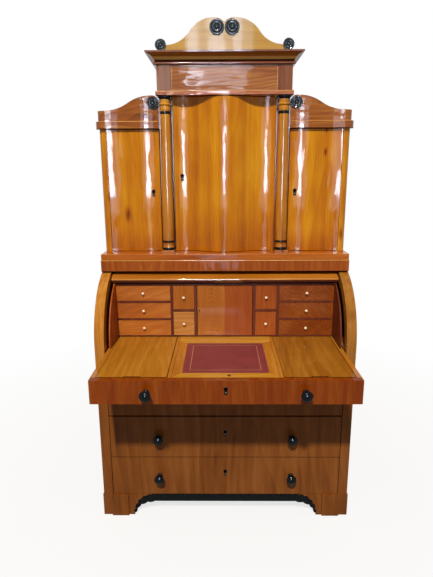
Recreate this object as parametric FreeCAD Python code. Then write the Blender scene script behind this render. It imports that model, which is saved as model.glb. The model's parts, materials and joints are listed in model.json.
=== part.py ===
import FreeCAD, Part
import math
import os

Vector = FreeCAD.Vector

# Lengths are in millimetres and angles in degrees. X runs to the right, Y to the back and Z up.
# Pieces are drawn with Y = 0 on the front of the lower case. They are shifted when they are saved,
# so that the origin is on the floor under the middle of the whole, with the writing slide out.

# Lower case
case_width = 1120.0
case_depth = 600.0
side_thickness = 24.0
facing_thickness = 18.0
facing_depth = 46.0
back_thickness = 12.0
dust_board_thickness = 14.0
guide_height = 40.0
kicker_height = 30.0

# Feet and apron
foot_height = 108.0
foot_width = 118.0
foot_depth = 92.0
foot_proud = 4.0
foot_front_proud = 2.0
pad_width = 77.0
pad_thickness = 8.0
bracket_width = 106.0
bracket_toe = 26.0
bracket_thickness = 10.0
bracket_scallops = 5
scallop_depth = 5.0
rear_foot_width = 90.0
apron_thickness = 18.0
apron_height = 44.0
apron_toe = 29.0
apron_corner_width = 90.0
apron_scallops = 4
apron_lift = 3.0

# Long drawers
bottom_drawer_height = 191.0
middle_drawer_height = 201.0
top_drawer_height = 206.0
drawer_front_thickness = 22.0
drawer_side_thickness = 12.0
drawer_bottom_thickness = 8.0
drawer_bottom_rise = 4.0
drawer_rear_space = 28.0
drawer_headroom = 10.0
front_gap = 1.0
front_side_gap = 1.5
box_side_gap = 2.5
run_clearance = 0.5
front_back_space = 2.0
top_drawer_joint = 5.0

# Turned ebonised knobs of the drawers and the slide
knob_spacing = 596.0
knob_length = 48.0
knob_radius = 22.0
knob_base_radius = 13.0
knob_neck_radius = 8.5

# Writing slide
slide_height = 97.0
slide_out = 292.0
slide_length = 560.0
slide_front_thickness = 28.0
slide_side_gap = 6.0
slide_side_thickness = 20.0
slide_back_thickness = 14.0
slide_bottom_thickness = 8.0
slide_divider_thickness = 14.0
ledger_width = 10.0
ledger_height = 11.0
ledger_clearance = 0.3

# Writing slope, its leather, and the lids beside it
panel_thickness = 13.0
leather_width = 336.0
leather_length = 332.0
leather_thickness = 2.0
slope_side_rail = 37.0
slope_front_rail = 40.0
slope_rear_rail = 31.0
slope_front_gap = 3.2
panel_gap = 1.0
slope_pin_radius = 2.5
slope_pin_inset = 6.0
slope_pin_grip = 9.0
lid_rear_tuck = 8.0
lid_front_gap = 2.0
grip_width = 60.0
grip_length = 6.0
grip_depth = 5.0

# Cylinder fall, with its axis above the slide
axis_rise = 17.0
cheek_top_drop = 10.0
fall_gap = 10.0
fall_rear_gap = 46.2
fall_thickness = 22.0
fall_side_gap = 4.0
fall_open_angle = 63.4
fall_span = 80.0
arm_thickness = 7.0
arm_hub_radius = 12.0
arm_half_angle = 16.0
fall_pin_radius = 5.0
pin_clearance = 0.05

# Pigeonholes between the cheek linings
lining_thickness = 6.0
lining_slot = 13.0
lining_clearance = 5.0
lining_lift = 3.0
pigeonhole_lead = 105.0
pigeonhole_depth = 220.0
pigeonhole_fall_gap = 8.6
bed_clearance = 2.0
bed_thickness = 6.0
bed_rear_lead = 20.0
pigeonhole_top_thickness = 8.0
pigeonhole_back_thickness = 8.0
divider_thickness = 12.0
prospect_width = 257.0
inner_stack_width = 97.0
outer_shelf_thickness = 10.0
inner_shelf_thickness = 12.0
small_front_thickness = 12.0
small_wall = 6.0
small_bottom = 4.0
small_gap = 0.8
small_rear_space = 12.0
small_box_drop = 6.0
small_knob_length = 15.0
small_knob_radius = 6.5
small_knob_neck = 3.6
prospect_thickness = 14.0
prospect_gap = 2.5
prospect_pin_radius = 2.0
prospect_pin_length = 8.0
prospect_pin_inset = 5.0

# Top of the lower case
rail_lead = 109.0
rail_thickness = 22.0
rail_height = 52.0
end_block_width = 44.0
slab_thickness = 28.0
slab_inset = 2.0

# Upper cabinet
cabinet_wall = 18.0
shelf_thickness = 16.0
shelf_setback = 334.0
centre_half_width = 289.0
centre_height = 677.0
post_width = 60.0
post_setback = 310.0
post_thickness = 22.0
centre_shelf_rises = [220.0, 445.0]
wing_shelf_rises = [180.0, 360.0]

# Centre door, a wave in plan with its crown in the middle
door_thickness = 20.0
door_side_gap = 4.0
door_crown_setback = 252.0
door_end_run = 53.0
door_wave_depth = 43.0
door_clearance = 2.0
hinge_pin_radius = 2.0
hinge_pin_length = 12.0
hinge_pin_inset = 4.5

# Wings, in plan a bulge and a hollow that run into a rounded corner
wing_inset = 3.5
wing_height = 543.0
wing_setback = 285.0
wing_bulge_share = 0.3155
wing_bulge_radius = 290.0
wing_hollow_radius = 400.0
wing_corner_radius = 28.0
wing_corner_turn = 10.5
wing_door_gap = 2.2
band_height = 33.0
band_proud = 14.0
crest_proud = 4.0
crest_low_height = 44.0
crest_high_height = 107.0
crest_inner_flat = 27.5
crest_outer_flat = 25.0
crest_shoulder = 26.0
crest_gap = 1.0

# Columns
column_inset = 30.5
column_setback = 280.0
column_plinth_size = 60.0
column_plinth_height = 9.0
base_ring_radius = 30.0
base_ring_height = 12.0
column_foot_height = 22.5
lower_band_height = 9.0
upper_band_height = 12.0
collar_height = 48.0
collar_radius = 27.0
capital_height = 14.0
capital_radius = 30.0
shaft_bottom_radius = 26.5
shaft_top_radius = 21.5
shaft_swell = 0.8
band_stand_out = 1.8

# Entablature and pediment
architrave_thickness = 19.0
architrave_proud = 7.0
frieze_setback = 256.0
frieze_height = 102.0
frieze_thickness = 20.0
frieze_block_width = 60.0
frieze_block_proud = 2.0
bead_height = 12.0
bead_proud = 11.0
cove_height = 31.0
cove_proud = 38.0
moulding_seat = 14.0
cap_thickness = 7.0
cap_overhang = 4.0
pediment_setback = 252.0
pediment_thickness = 22.0
pediment_inset = 21.0
pediment_peak = 131.0
pediment_end = 28.0
pediment_dip = 115.0
pediment_peak_x = 48.0
pediment_end_flat = 23.0

# Turned ebonised rosettes
large_rosette_radius = 30.5
large_rosette_x = 32.0
large_rosette_rise = 95.0
end_rosette_radius = 23.5
end_rosette_rise = 28.0
wing_rosette_radius = 26.0
wing_rosette_inset = 25.5
wing_rosette_rise = 76.0
rosette_height_share = 0.5

# Places worked out from the sizes
case_half = case_width / 2
side_inner = case_half - side_thickness
opening_half = side_inner - facing_thickness
back_front = case_depth - back_thickness
origin_shift = (slide_out + knob_length - case_depth) / 2

level_bottom = foot_height
level_middle = level_bottom + bottom_drawer_height
level_top = level_middle + middle_drawer_height
level_slide = level_top + top_drawer_height
slide_top = level_slide + slide_height

# The open fall stays clear of the back, and that sets the radius of the cylinder.
fall_rear_reach = -math.cos(math.radians(fall_open_angle + fall_span))
cheek_radius = (back_front - fall_rear_gap + fall_gap * fall_rear_reach) / (1 + fall_rear_reach)
axis_y = cheek_radius
axis_z = slide_top + axis_rise
rail_setback = axis_y - rail_lead
rail_bottom = axis_z + cheek_radius - cheek_top_drop
rail_top = rail_bottom + rail_height
slab_top = rail_top + slab_thickness
fall_outer = cheek_radius - fall_gap
fall_inner = fall_outer - fall_thickness
fall_half = opening_half - fall_side_gap
lining_outer = opening_half - lining_slot
lining_inner = lining_outer - lining_thickness

pigeonhole_setback = axis_y - pigeonhole_lead
bed_rear_start = axis_y + bed_rear_lead

slide_half = opening_half - slide_side_gap
slide_inner = slide_half - slide_side_thickness
slide_front_y = -slide_out
slide_box_y = slide_front_y + slide_front_thickness
slide_rear_y = slide_front_y + slide_length
slide_box_z = level_slide + dust_board_thickness + run_clearance
panel_z = slide_top - panel_thickness
ledger_top = panel_z - ledger_clearance
slope_half = leather_width / 2 + slope_side_rail
slope_y = slide_box_y + slope_front_gap
leather_y = slope_y + slope_front_rail
leather_end_y = leather_y + leather_length
slope_end_y = leather_end_y + slope_rear_rail
divider_x = slope_half + panel_gap
lid_x = divider_x + slide_divider_thickness + panel_gap
lid_end_y = pigeonhole_setback + lid_rear_tuck

bed_bottom = slide_top + bed_clearance
hole_floor = bed_bottom + bed_thickness
pigeonhole_end = pigeonhole_setback + pigeonhole_depth
# The top board's rear corner stays inside the sweep of the fall.
corner_rise = math.sqrt((fall_inner - pigeonhole_fall_gap) ** 2 - (pigeonhole_end - axis_y) ** 2)
hole_ceiling = axis_z + corner_rise - pigeonhole_top_thickness
pigeonhole_height = hole_ceiling - hole_floor
hole_rear = pigeonhole_end - pigeonhole_back_thickness

wing_half_width = case_half - wing_inset
wing_top = slab_top + wing_height
band_top = wing_top + band_height
crest_slope_inner = centre_half_width + crest_inner_flat
crest_slope_outer = wing_half_width - crest_outer_flat
door_half_width = centre_half_width - post_width - door_side_gap
door_wave_spacing = door_half_width - door_end_run
pediment_half_width = centre_half_width - pediment_inset
architrave_bottom = slab_top + centre_height
architrave_top = architrave_bottom + architrave_thickness
frieze_top = architrave_top + frieze_height
bead_top = frieze_top + bead_height
cove_top = bead_top + cove_height
cap_top = cove_top + cap_thickness

nodes = {}


def board(x0, x1, y0, y1, z0, z1):
    return Part.makeBox(x1 - x0, y1 - y0, z1 - z0, Vector(x0, y0, z0))


def mirrored(shape):
    return shape.mirror(Vector(0, 0, 0), Vector(1, 0, 0))


def both_sides(shapes):
    return shapes + [mirrored(shape) for shape in shapes]


def line(start, end):
    return Part.LineSegment(start, end).toShape()


def arc(start, middle, end):
    return Part.Arc(start, middle, end).toShape()


def prism(edges, travel):
    wire = Part.Wire(Part.__sortEdges__(edges))
    return Part.Face(wire).extrude(travel)


def outline(points):
    ends = points[1:] + points[:1]
    return [line(start, end) for start, end in zip(points, ends)]


def turned(profile):
    """A solid turned about Z. Two numbers are a line to (radius, height), four an arc through and to."""
    edges = []
    here = Vector(profile[0][0], 0, profile[0][1])
    for step in profile[1:]:
        there = Vector(step[-2], 0, step[-1])
        if len(step) == 4:
            edges.append(arc(here, Vector(step[0], 0, step[1]), there))
        else:
            edges.append(line(here, there))
        here = there
    edges.append(line(here, Vector(profile[0][0], 0, profile[0][1])))
    face = Part.Face(Part.Wire(edges))
    return face.revolve(Vector(0, 0, 0), Vector(0, 0, 1), 360)


def dome(radius, low, high):
    """Last step of a turned profile: a round end that closes on the axis."""
    centre = (high ** 2 - low ** 2 - radius ** 2) / (2 * (high - low))
    reach = high - centre
    turn = math.atan2(radius, low - centre) / 2
    return (reach * math.sin(turn), centre + reach * math.cos(turn), 0, high)


def cut(shape, tool):
    return shape.cut(tool).Solids[0]


def shared(shape, tool):
    return shape.common(tool).Solids[0]


def joined(first, second):
    return first.fuse(second).removeSplitter().Solids[0]


def facing_front(shape, x, y, z):
    placed = shape.copy()
    placed.rotate(Vector(0, 0, 0), Vector(1, 0, 0), 90)
    placed.translate(Vector(x, y, z))
    return placed


def upright_pin(radius, x, y, z0, z1):
    return Part.makeCylinder(radius, z1 - z0, Vector(x, y, z0))


def cross_pin(radius, x0, x1, y, z):
    return Part.makeCylinder(radius, x1 - x0, Vector(x0, y, z), Vector(1, 0, 0))


def save(name, solids):
    nodes[name] = solids
    whole = Part.makeCompound(solids)
    whole.translate(Vector(0, origin_shift, 0))
    whole.exportStep("parts/" + name + ".step")


def wave_radius(spacing, depth):
    """Radius of two equal arcs that meet smoothly and span this spacing and depth."""
    return (spacing ** 2 + depth ** 2) / (4 * depth)


def fall_point(radius, angle):
    """A point on the cylinder, at an angle from straight ahead (0) over the top (90)."""
    turn = math.radians(angle)
    return Vector(0, axis_y - radius * math.cos(turn), axis_z + radius * math.sin(turn))


# Case sides, facings, back, boards and guides

cheek_end_angle = math.degrees(math.asin((rail_bottom - axis_z) / cheek_radius))


def cheek_front(radius):
    """The quarter-round front edge of a side, from straight ahead to the rail."""
    return arc(
        fall_point(radius, 0), fall_point(radius, cheek_end_angle / 2), fall_point(radius, cheek_end_angle)
    )


def case_side():
    foot = Vector(0, 0, foot_height)
    heel = Vector(0, case_depth, foot_height)
    rear = Vector(0, case_depth, rail_bottom)
    edges = [
        line(foot, fall_point(cheek_radius, 0)),
        cheek_front(cheek_radius),
        line(fall_point(cheek_radius, cheek_end_angle), rear),
        line(rear, heel),
        line(heel, foot),
    ]
    side = prism(edges, Vector(side_thickness, 0, 0))
    side.translate(Vector(side_inner, 0, 0))
    return side


def cheek_facing():
    inner_radius = cheek_radius - facing_depth
    foot = Vector(0, 0, foot_height)
    inner_foot = Vector(0, facing_depth, foot_height)
    edges = [
        line(foot, fall_point(cheek_radius, 0)),
        cheek_front(cheek_radius),
        line(fall_point(cheek_radius, cheek_end_angle), fall_point(inner_radius, cheek_end_angle)),
        cheek_front(inner_radius),
        line(fall_point(inner_radius, 0), inner_foot),
        line(inner_foot, foot),
    ]
    facing = prism(edges, Vector(facing_thickness, 0, 0))
    facing.translate(Vector(opening_half, 0, 0))
    return facing


def make_case():
    save("case_sides", both_sides([case_side()]))
    save("cheek_facings", both_sides([cheek_facing()]))
    block_inner = case_half - end_block_width
    back = board(-side_inner, side_inner, back_front, case_depth, foot_height, rail_bottom)
    upper_back = board(-block_inner, block_inner, back_front, case_depth, rail_bottom, rail_top)
    save("case_back", [back, upper_back])
    dust_boards = []
    guides = []
    levels = [level_bottom, level_middle, level_top, level_slide]
    fronts = [drawer_front_thickness] * 3 + [slide_front_thickness]
    for z, front in zip(levels, fronts):
        front_y = front + front_back_space
        top = z + dust_board_thickness
        dust_boards.append(board(-opening_half, opening_half, front_y, back_front, z, top))
        guides.append(board(opening_half, side_inner, facing_depth, back_front, z, z + guide_height))
    kicker_z = bed_bottom - kicker_height
    guides.append(board(opening_half, side_inner, facing_depth, back_front, kicker_z, bed_bottom))
    save("dust_boards", dust_boards)
    save("drawer_guides", both_sides(guides))
    rail_y = rail_setback + rail_thickness
    rail = board(-block_inner, block_inner, rail_setback, rail_y, rail_bottom, rail_top)
    block = board(block_inner, case_half, rail_setback, case_depth, rail_bottom, rail_top)
    save("top_rail", [rail] + both_sides([block]))
    slab_half = case_half - slab_inset
    slab = board(-slab_half, slab_half, rail_setback + slab_inset, case_depth, rail_top, slab_top)
    save("plinth_slab", [slab])


# Feet and the ebonised apron between them


def scallops(centre_x, half_width, base_z, height, count, depth):
    """Arcs along a quarter ellipse, each bowed outwards by depth, from the side up to the top."""
    edges = []

    def point(step, extra):
        turn = math.radians(90.0 * step / count)
        x = centre_x + (half_width + extra) * math.cos(turn)
        return Vector(x, 0, base_z + (height + extra) * math.sin(turn))

    for step in range(count):
        edges.append(arc(point(step, 0), point(step + 0.5, depth), point(step + 1, 0)))
    return edges


def make_feet():
    foot_outer = case_half + foot_proud
    foot_inner = foot_outer - foot_width
    front_y = -foot_front_proud
    block = board(foot_inner, foot_outer, front_y, front_y + foot_depth, 0, foot_height)
    pad = board(foot_inner, foot_inner + pad_width, front_y - pad_thickness, front_y, 0, foot_height)
    tip_x = foot_inner - bracket_width
    toe_x = foot_inner - bracket_toe
    edge = scallops(tip_x, toe_x - tip_x, 0, foot_height - scallop_depth, bracket_scallops, scallop_depth)
    shoulder = Vector(tip_x, 0, foot_height)
    corner = Vector(foot_inner, 0, foot_height)
    heel = Vector(foot_inner, 0, 0)
    toe = Vector(toe_x, 0, 0)
    tip = Vector(tip_x, 0, foot_height - scallop_depth)
    edges = edge + [line(tip, shoulder), line(shoulder, corner), line(corner, heel), line(heel, toe)]
    bracket = prism(edges, Vector(0, bracket_thickness, 0))
    bracket.translate(Vector(0, front_y, 0))
    rear_x = foot_outer - rear_foot_width
    rear = board(rear_x, foot_outer, case_depth - foot_depth, case_depth, 0, foot_height)
    save("feet", both_sides([block, pad, bracket, rear]))

    apron_y = front_y + bracket_thickness
    apron_toe_x = foot_inner - apron_toe
    apron_bottom = foot_height - apron_height
    corner_x = apron_toe_x - apron_corner_width
    edge = scallops(
        corner_x, apron_corner_width, apron_lift, apron_bottom - apron_lift, apron_scallops, -scallop_depth
    )
    middle_low = Vector(0, 0, apron_bottom)
    middle_high = Vector(0, 0, foot_height)
    low = Vector(foot_inner, 0, apron_lift)
    edges = edge + [
        line(Vector(corner_x, 0, apron_bottom), middle_low),
        line(middle_low, middle_high),
        line(middle_high, corner),
        line(corner, low),
        line(low, Vector(apron_toe_x, 0, apron_lift)),
    ]
    half = prism(edges, Vector(0, apron_thickness, 0))
    half.translate(Vector(0, apron_y, 0))
    save("apron", [joined(half, mirrored(half))])


# Long drawers


def knob():
    neck_end = knob_length * 0.5
    return turned([
        (0, 0), (knob_base_radius, 0), (knob_base_radius, knob_length * 0.09),
        (knob_neck_radius, knob_length * 0.16),
        (knob_neck_radius * 0.94, knob_length * 0.33, knob_neck_radius * 1.25, neck_end),
        (knob_radius * 0.88, knob_length * 0.56),
        (knob_radius, knob_length * 0.72, knob_radius * 0.78, knob_length * 0.88),
        (knob_radius * 0.55, knob_length * 0.93),
        dome(knob_radius * 0.55, knob_length * 0.93, knob_length),
    ])


def knob_pair(y, z):
    return both_sides([facing_front(knob(), knob_spacing / 2, y, z)])


def make_drawer(name, z0, height, joint):
    """A long drawer. The joint is the gap under its front."""
    z1 = z0 + height
    front_half = opening_half - front_side_gap
    front = board(-front_half, front_half, 0, drawer_front_thickness, z0 + joint, z1 - front_gap)
    outer = opening_half - box_side_gap
    inner = outer - drawer_side_thickness
    box_z = z0 + dust_board_thickness + run_clearance
    box_top = z1 - drawer_headroom
    rear = back_front - drawer_rear_space
    rear_inner = rear - drawer_side_thickness
    bottom_z = box_z + drawer_bottom_rise
    side = board(inner, outer, drawer_front_thickness, rear, box_z, box_top)
    rear_board = board(-inner, inner, rear_inner, rear, box_z, box_top)
    bottom = board(
        -inner, inner, drawer_front_thickness, rear_inner, bottom_z, bottom_z + drawer_bottom_thickness
    )
    save(name + "_front", [front])
    save(name + "_box", both_sides([side]) + [rear_board, bottom])
    save(name + "_knobs", knob_pair(0, (z0 + z1) / 2))


# Writing slide, with a slope in the middle and a sliding lid on each side


def make_slide():
    front = board(-slide_half, slide_half, slide_front_y, slide_box_y, level_slide + front_gap, slide_top)
    save("slide_front", [front])
    save("slide_knobs", knob_pair(slide_front_y, (level_slide + slide_top) / 2))

    divider_end = divider_x + slide_divider_thickness
    rear_inner = slide_rear_y - slide_back_thickness
    bottom_top = slide_box_z + slide_bottom_thickness
    ledger_z = ledger_top - ledger_height
    side = board(slide_inner, slide_half, slide_box_y, slide_rear_y, slide_box_z, slide_top)
    divider = board(divider_x, divider_end, slide_box_y, rear_inner, bottom_top, slide_top)
    pin_y = slope_y + slope_pin_inset
    pin_z = slide_top - panel_thickness / 2
    pin = cross_pin(slope_pin_radius, divider_x - slope_pin_grip, divider_end, pin_y, pin_z)
    divider = cut(divider, pin)
    ledgers = [
        board(slide_inner - ledger_width, slide_inner, slide_box_y, rear_inner, ledger_z, ledger_top),
        board(divider_end, divider_end + ledger_width, slide_box_y, rear_inner, ledger_z, ledger_top),
        board(divider_x - ledger_width, divider_x, leather_y, rear_inner, ledger_z, ledger_top),
    ]
    batten_y = slope_end_y + panel_gap
    batten = board(-divider_x, divider_x, batten_y, lid_end_y, ledger_top, slide_top)
    bottom = board(-slide_inner, slide_inner, slide_box_y, rear_inner, slide_box_z, bottom_top)
    rear = board(-slide_inner, slide_inner, rear_inner, slide_rear_y, slide_box_z, ledger_top)
    save("slide_frame", both_sides([side, divider, pin] + ledgers) + [batten, bottom, rear])

    leather_half = leather_width / 2
    leather_z = slide_top - leather_thickness
    corners = [
        Vector(-slope_half, slope_y, panel_z), Vector(slope_half, slope_y, panel_z),
        Vector(slope_half, slope_end_y, panel_z), Vector(-slope_half, slope_end_y, panel_z),
    ]
    inner = [
        Vector(-leather_half, leather_y, panel_z), Vector(leather_half, leather_y, panel_z),
        Vector(leather_half, leather_end_y, panel_z), Vector(-leather_half, leather_end_y, panel_z),
    ]
    bore = cross_pin(slope_pin_radius + pin_clearance, -slope_half, slope_half, pin_y, pin_z)
    middle_half = divider_x - slope_pin_grip - panel_gap
    keep = board(-middle_half, middle_half, slope_y, slope_end_y, panel_z, slide_top)
    rails = []
    for corner in range(4):
        following = (corner + 1) % 4
        rail = prism(
            outline([corners[corner], corners[following], inner[following], inner[corner]]),
            Vector(0, 0, panel_thickness),
        )
        for grip in bore.cut(keep).Solids:
            rail = cut(rail, grip)
        rails.append(rail)
    field = board(-leather_half, leather_half, leather_y, leather_end_y, panel_z, leather_z)
    save("slope_frame", rails + [field])
    leather = board(-leather_half, leather_half, leather_y, leather_end_y, leather_z, slide_top)
    save("slope_leather", [leather])

    lid_outer = slide_inner - panel_gap
    lid_y = slide_box_y + lid_front_gap
    lid = board(lid_x, lid_outer, lid_y, lid_end_y, panel_z, slide_top)
    grip_x = (lid_x + lid_outer - grip_width) / 2
    grip = board(grip_x, grip_x + grip_width, lid_y, lid_y + grip_length, slide_top - grip_depth, slide_top)
    lid = cut(lid, grip)
    save("right_lid", [lid])
    save("left_lid", [mirrored(lid)])


# Cylinder fall and its arms


def make_fall():
    first = fall_open_angle
    last = fall_open_angle + fall_span
    middle = (first + last) / 2
    edges = [
        arc(fall_point(fall_outer, first), fall_point(fall_outer, middle), fall_point(fall_outer, last)),
        line(fall_point(fall_outer, last), fall_point(fall_inner, last)),
        arc(fall_point(fall_inner, last), fall_point(fall_inner, middle), fall_point(fall_inner, first)),
        line(fall_point(fall_inner, first), fall_point(fall_outer, first)),
    ]
    panel = prism(edges, Vector(2 * fall_half, 0, 0))
    panel.translate(Vector(-fall_half, 0, 0))
    save("fall_panel", [panel])

    low = fall_point(fall_inner, middle - arm_half_angle)
    high = fall_point(fall_inner, middle + arm_half_angle)
    hub_low = fall_point(arm_hub_radius, middle - 90)
    hub_high = fall_point(arm_hub_radius, middle + 90)
    edges = [
        line(hub_low, low), arc(low, fall_point(fall_inner, middle), high),
        line(high, hub_high), line(hub_high, hub_low),
    ]
    arm = prism(edges, Vector(arm_thickness, 0, 0))
    arm.translate(Vector(fall_half - arm_thickness, 0, 0))
    arm = joined(arm, cross_pin(arm_hub_radius, fall_half - arm_thickness, fall_half, axis_y, axis_z))
    bore = cross_pin(fall_pin_radius + pin_clearance, fall_half - arm_thickness, fall_half, axis_y, axis_z)
    save("fall_arms", both_sides([cut(arm, bore)]))


# Pigeonholes, prospect door and small drawers


def cheek_lining():
    radius = fall_inner - lining_clearance
    low_z = slide_top + lining_lift
    disc = cross_pin(radius, lining_inner, lining_outer, axis_y, axis_z)
    front_part = board(lining_inner, lining_outer, 0, pigeonhole_setback, low_z, rail_bottom)
    rear_part = board(
        lining_inner, lining_outer, pigeonhole_setback, pigeonhole_end, hole_floor, rail_bottom
    )
    return shared(disc, joined(front_part, rear_part))


def make_pigeonholes():
    front = pigeonhole_setback
    save("cheek_linings", both_sides([cheek_lining()]))
    bed = board(-lining_outer, lining_outer, front, bed_rear_start, bed_bottom, hole_floor)
    rear_bed = board(-side_inner, side_inner, bed_rear_start, back_front, bed_bottom, hole_floor)
    top_z = hole_ceiling + pigeonhole_top_thickness
    top = board(-lining_inner, lining_inner, front, pigeonhole_end, hole_ceiling, top_z)
    back = board(-lining_inner, lining_inner, hole_rear, pigeonhole_end, hole_floor, hole_ceiling)
    save("pigeonhole_boards", [bed, rear_bed, top, back])

    prospect_half = prospect_width / 2
    inner_x = prospect_half + divider_thickness
    inner_end = inner_x + inner_stack_width
    outer_x = inner_end + divider_thickness
    pieces = [
        board(prospect_half, inner_x, front, hole_rear, hole_floor, hole_ceiling),
        board(inner_end, outer_x, front, hole_rear, hole_floor, hole_ceiling),
    ]
    stacks = [
        ("outer", outer_x, lining_inner, outer_shelf_thickness, ["bottom", "middle", "top"]),
        ("inner", inner_x, inner_end, inner_shelf_thickness, ["bottom", "top"]),
    ]
    for stack, x0, x1, shelf, rows in stacks:
        clear = (pigeonhole_height - shelf * (len(rows) - 1)) / len(rows)
        for place, row in enumerate(rows):
            z0 = hole_floor + place * (clear + shelf)
            if place:
                pieces.append(board(x0, x1, front, hole_rear, z0 - shelf, z0))
            solids = small_drawer(x0 + small_gap, x1 - small_gap, z0 + small_gap, z0 + clear - small_gap)
            save("right_" + stack + "_drawer_" + row, solids)
            save("left_" + stack + "_drawer_" + row, [mirrored(solid) for solid in solids])
    save("pigeonhole_dividers", both_sides(pieces))

    half = prospect_half - prospect_gap
    low = hole_floor + small_gap
    high = hole_ceiling - small_gap
    door = board(-half, half, front, front + prospect_thickness, low, high)
    for pin in prospect_pins(prospect_pin_radius + pin_clearance):
        door = cut(door, pin)
    save("prospect_door", [door])


def small_drawer(x0, x1, z0, z1):
    front = pigeonhole_setback
    box_y = front + small_front_thickness
    rear = hole_rear - small_rear_space
    box_top = z1 - small_box_drop
    bone_knob = turned([
        (0, 0), (small_knob_neck, 0), (small_knob_neck, small_knob_length * 0.4),
        (small_knob_radius, small_knob_length * 0.55),
        dome(small_knob_radius, small_knob_length * 0.55, small_knob_length),
    ])
    return [
        board(x0, x1, front, box_y, z0, z1),
        board(x0, x0 + small_wall, box_y, rear, z0, box_top),
        board(x1 - small_wall, x1, box_y, rear, z0, box_top),
        board(x0 + small_wall, x1 - small_wall, rear - small_wall, rear, z0, box_top),
        board(x0 + small_wall, x1 - small_wall, box_y, rear - small_wall, z0, z0 + small_bottom),
        facing_front(bone_knob, (x0 + x1) / 2, front, (z0 + z1) / 2),
    ]


def prospect_pins(radius):
    x = prospect_width / 2 - prospect_gap - prospect_pin_inset
    y = pigeonhole_setback + prospect_pin_inset
    return [
        upright_pin(radius, x, y, hole_floor, hole_floor + prospect_pin_length),
        upright_pin(radius, x, y, hole_ceiling - prospect_pin_length, hole_ceiling),
    ]


# Plans of the curved doors


def arc_along(centre, radius, x0, x1, side):
    """Part of a circle as seen in plan, from x0 to x1: side -1 is its front, +1 its back."""

    def point(x):
        return Vector(x, centre.y + side * math.sqrt(radius ** 2 - (x - centre.x) ** 2), 0)

    return arc(point(x0), point((x0 + x1) / 2), point(x1))


def meeting_x(start_centre, end_centre, radius):
    direction = (end_centre - start_centre).normalize()
    return start_centre.x + radius * direction.x


door_radius = wave_radius(door_wave_spacing, door_wave_depth)
door_crown_centre = Vector(0, door_crown_setback + door_radius, 0)
door_hollow_centre = Vector(
    door_wave_spacing, door_crown_setback + door_wave_depth - door_radius, 0
)


def centre_door_line(offset):
    """Front line of the centre door, moved forward by offset, as edges from left to right."""
    meet = meeting_x(door_crown_centre, door_hollow_centre, door_radius + offset)
    crown = arc_along(door_crown_centre, door_radius + offset, -meet, meet, -1)
    hollow = arc_along(door_hollow_centre, door_radius - offset, meet, door_half_width, 1)
    left_centre = Vector(-door_hollow_centre.x, door_hollow_centre.y, 0)
    left_hollow = arc_along(left_centre, door_radius - offset, -door_half_width, -meet, 1)
    return [left_hollow, crown, hollow]


def centre_door_front(x):
    reach = math.sqrt(door_radius ** 2 - (x - door_hollow_centre.x) ** 2)
    return door_hollow_centre.y + reach


corner_turn = math.radians(wing_corner_turn)
wing_corner_x = wing_half_width - wing_corner_radius
wing_meet_x = wing_corner_x - wing_corner_radius * math.sin(corner_turn)
wing_hollow_x = wing_meet_x - wing_hollow_radius * math.sin(corner_turn)
wing_bulge_x = centre_half_width + wing_bulge_share * (wing_half_width - centre_half_width)
wing_reach = wing_bulge_radius + wing_hollow_radius
wing_rise = math.sqrt(wing_reach ** 2 - (wing_hollow_x - wing_bulge_x) ** 2)
wing_bulge = Vector(wing_bulge_x, wing_setback + wing_bulge_radius, 0)
wing_hollow = Vector(wing_hollow_x, wing_bulge.y - wing_rise, 0)
corner_reach = wing_hollow_radius + wing_corner_radius
wing_corner = Vector(wing_corner_x, wing_hollow.y + corner_reach * math.cos(corner_turn), 0)


def wing_line(offset, start_x, end_x):
    """Bulge and hollow of the right wing's front, moved forward by offset, from start_x to end_x."""
    meet = meeting_x(wing_bulge, wing_hollow, wing_bulge_radius + offset)
    return [
        arc_along(wing_bulge, wing_bulge_radius + offset, start_x, meet, -1),
        arc_along(wing_hollow, wing_hollow_radius - offset, meet, end_x, 1),
    ]


def wing_hollow_front(x):
    return wing_hollow.y + math.sqrt(wing_hollow_radius ** 2 - (x - wing_hollow.x) ** 2)


def between(front_edges, back_edges):
    """Closed plan between two lines that run from left to right."""
    ends = []
    for place in (0, -1):
        front = front_edges[place].Vertexes[place].Point
        back = back_edges[place].Vertexes[place].Point
        ends.append(line(front, back))
    return front_edges + back_edges + ends


# Doors of the upper cabinet

wing_door_x = centre_half_width + wing_door_gap
wing_door_end = wing_meet_x - wing_door_gap
centre_pin_x = door_half_width - hinge_pin_inset
centre_pin_y = centre_door_front(door_half_width) + hinge_pin_inset
wing_pin_x = wing_door_end - hinge_pin_inset
wing_pin_y = wing_hollow_front(wing_door_end) + hinge_pin_inset


def hinge_pins(radius, x, y, top):
    return [
        upright_pin(radius, x, y, slab_top, slab_top + hinge_pin_length),
        upright_pin(radius, x, y, top - hinge_pin_length, top),
    ]


def make_doors():
    low = slab_top + door_clearance
    bore = hinge_pin_radius + pin_clearance
    tall = Vector(0, 0, architrave_bottom - door_clearance - low)
    centre = prism(between(centre_door_line(0), centre_door_line(-door_thickness)), tall)
    centre.translate(Vector(0, 0, low))
    for pin in hinge_pins(bore, centre_pin_x, centre_pin_y, architrave_bottom):
        centre = cut(centre, pin)
    save("centre_door", [centre])

    tall = Vector(0, 0, wing_top - door_clearance - low)
    front = wing_line(0, wing_door_x, wing_door_end)
    wing = prism(between(front, wing_line(-cabinet_wall, wing_door_x, wing_door_end)), tall)
    wing.translate(Vector(0, 0, low))
    for pin in hinge_pins(bore, wing_pin_x, wing_pin_y, wing_top):
        wing = cut(wing, pin)
    save("right_wing_door", [wing])
    save("left_wing_door", [mirrored(wing)])


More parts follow.
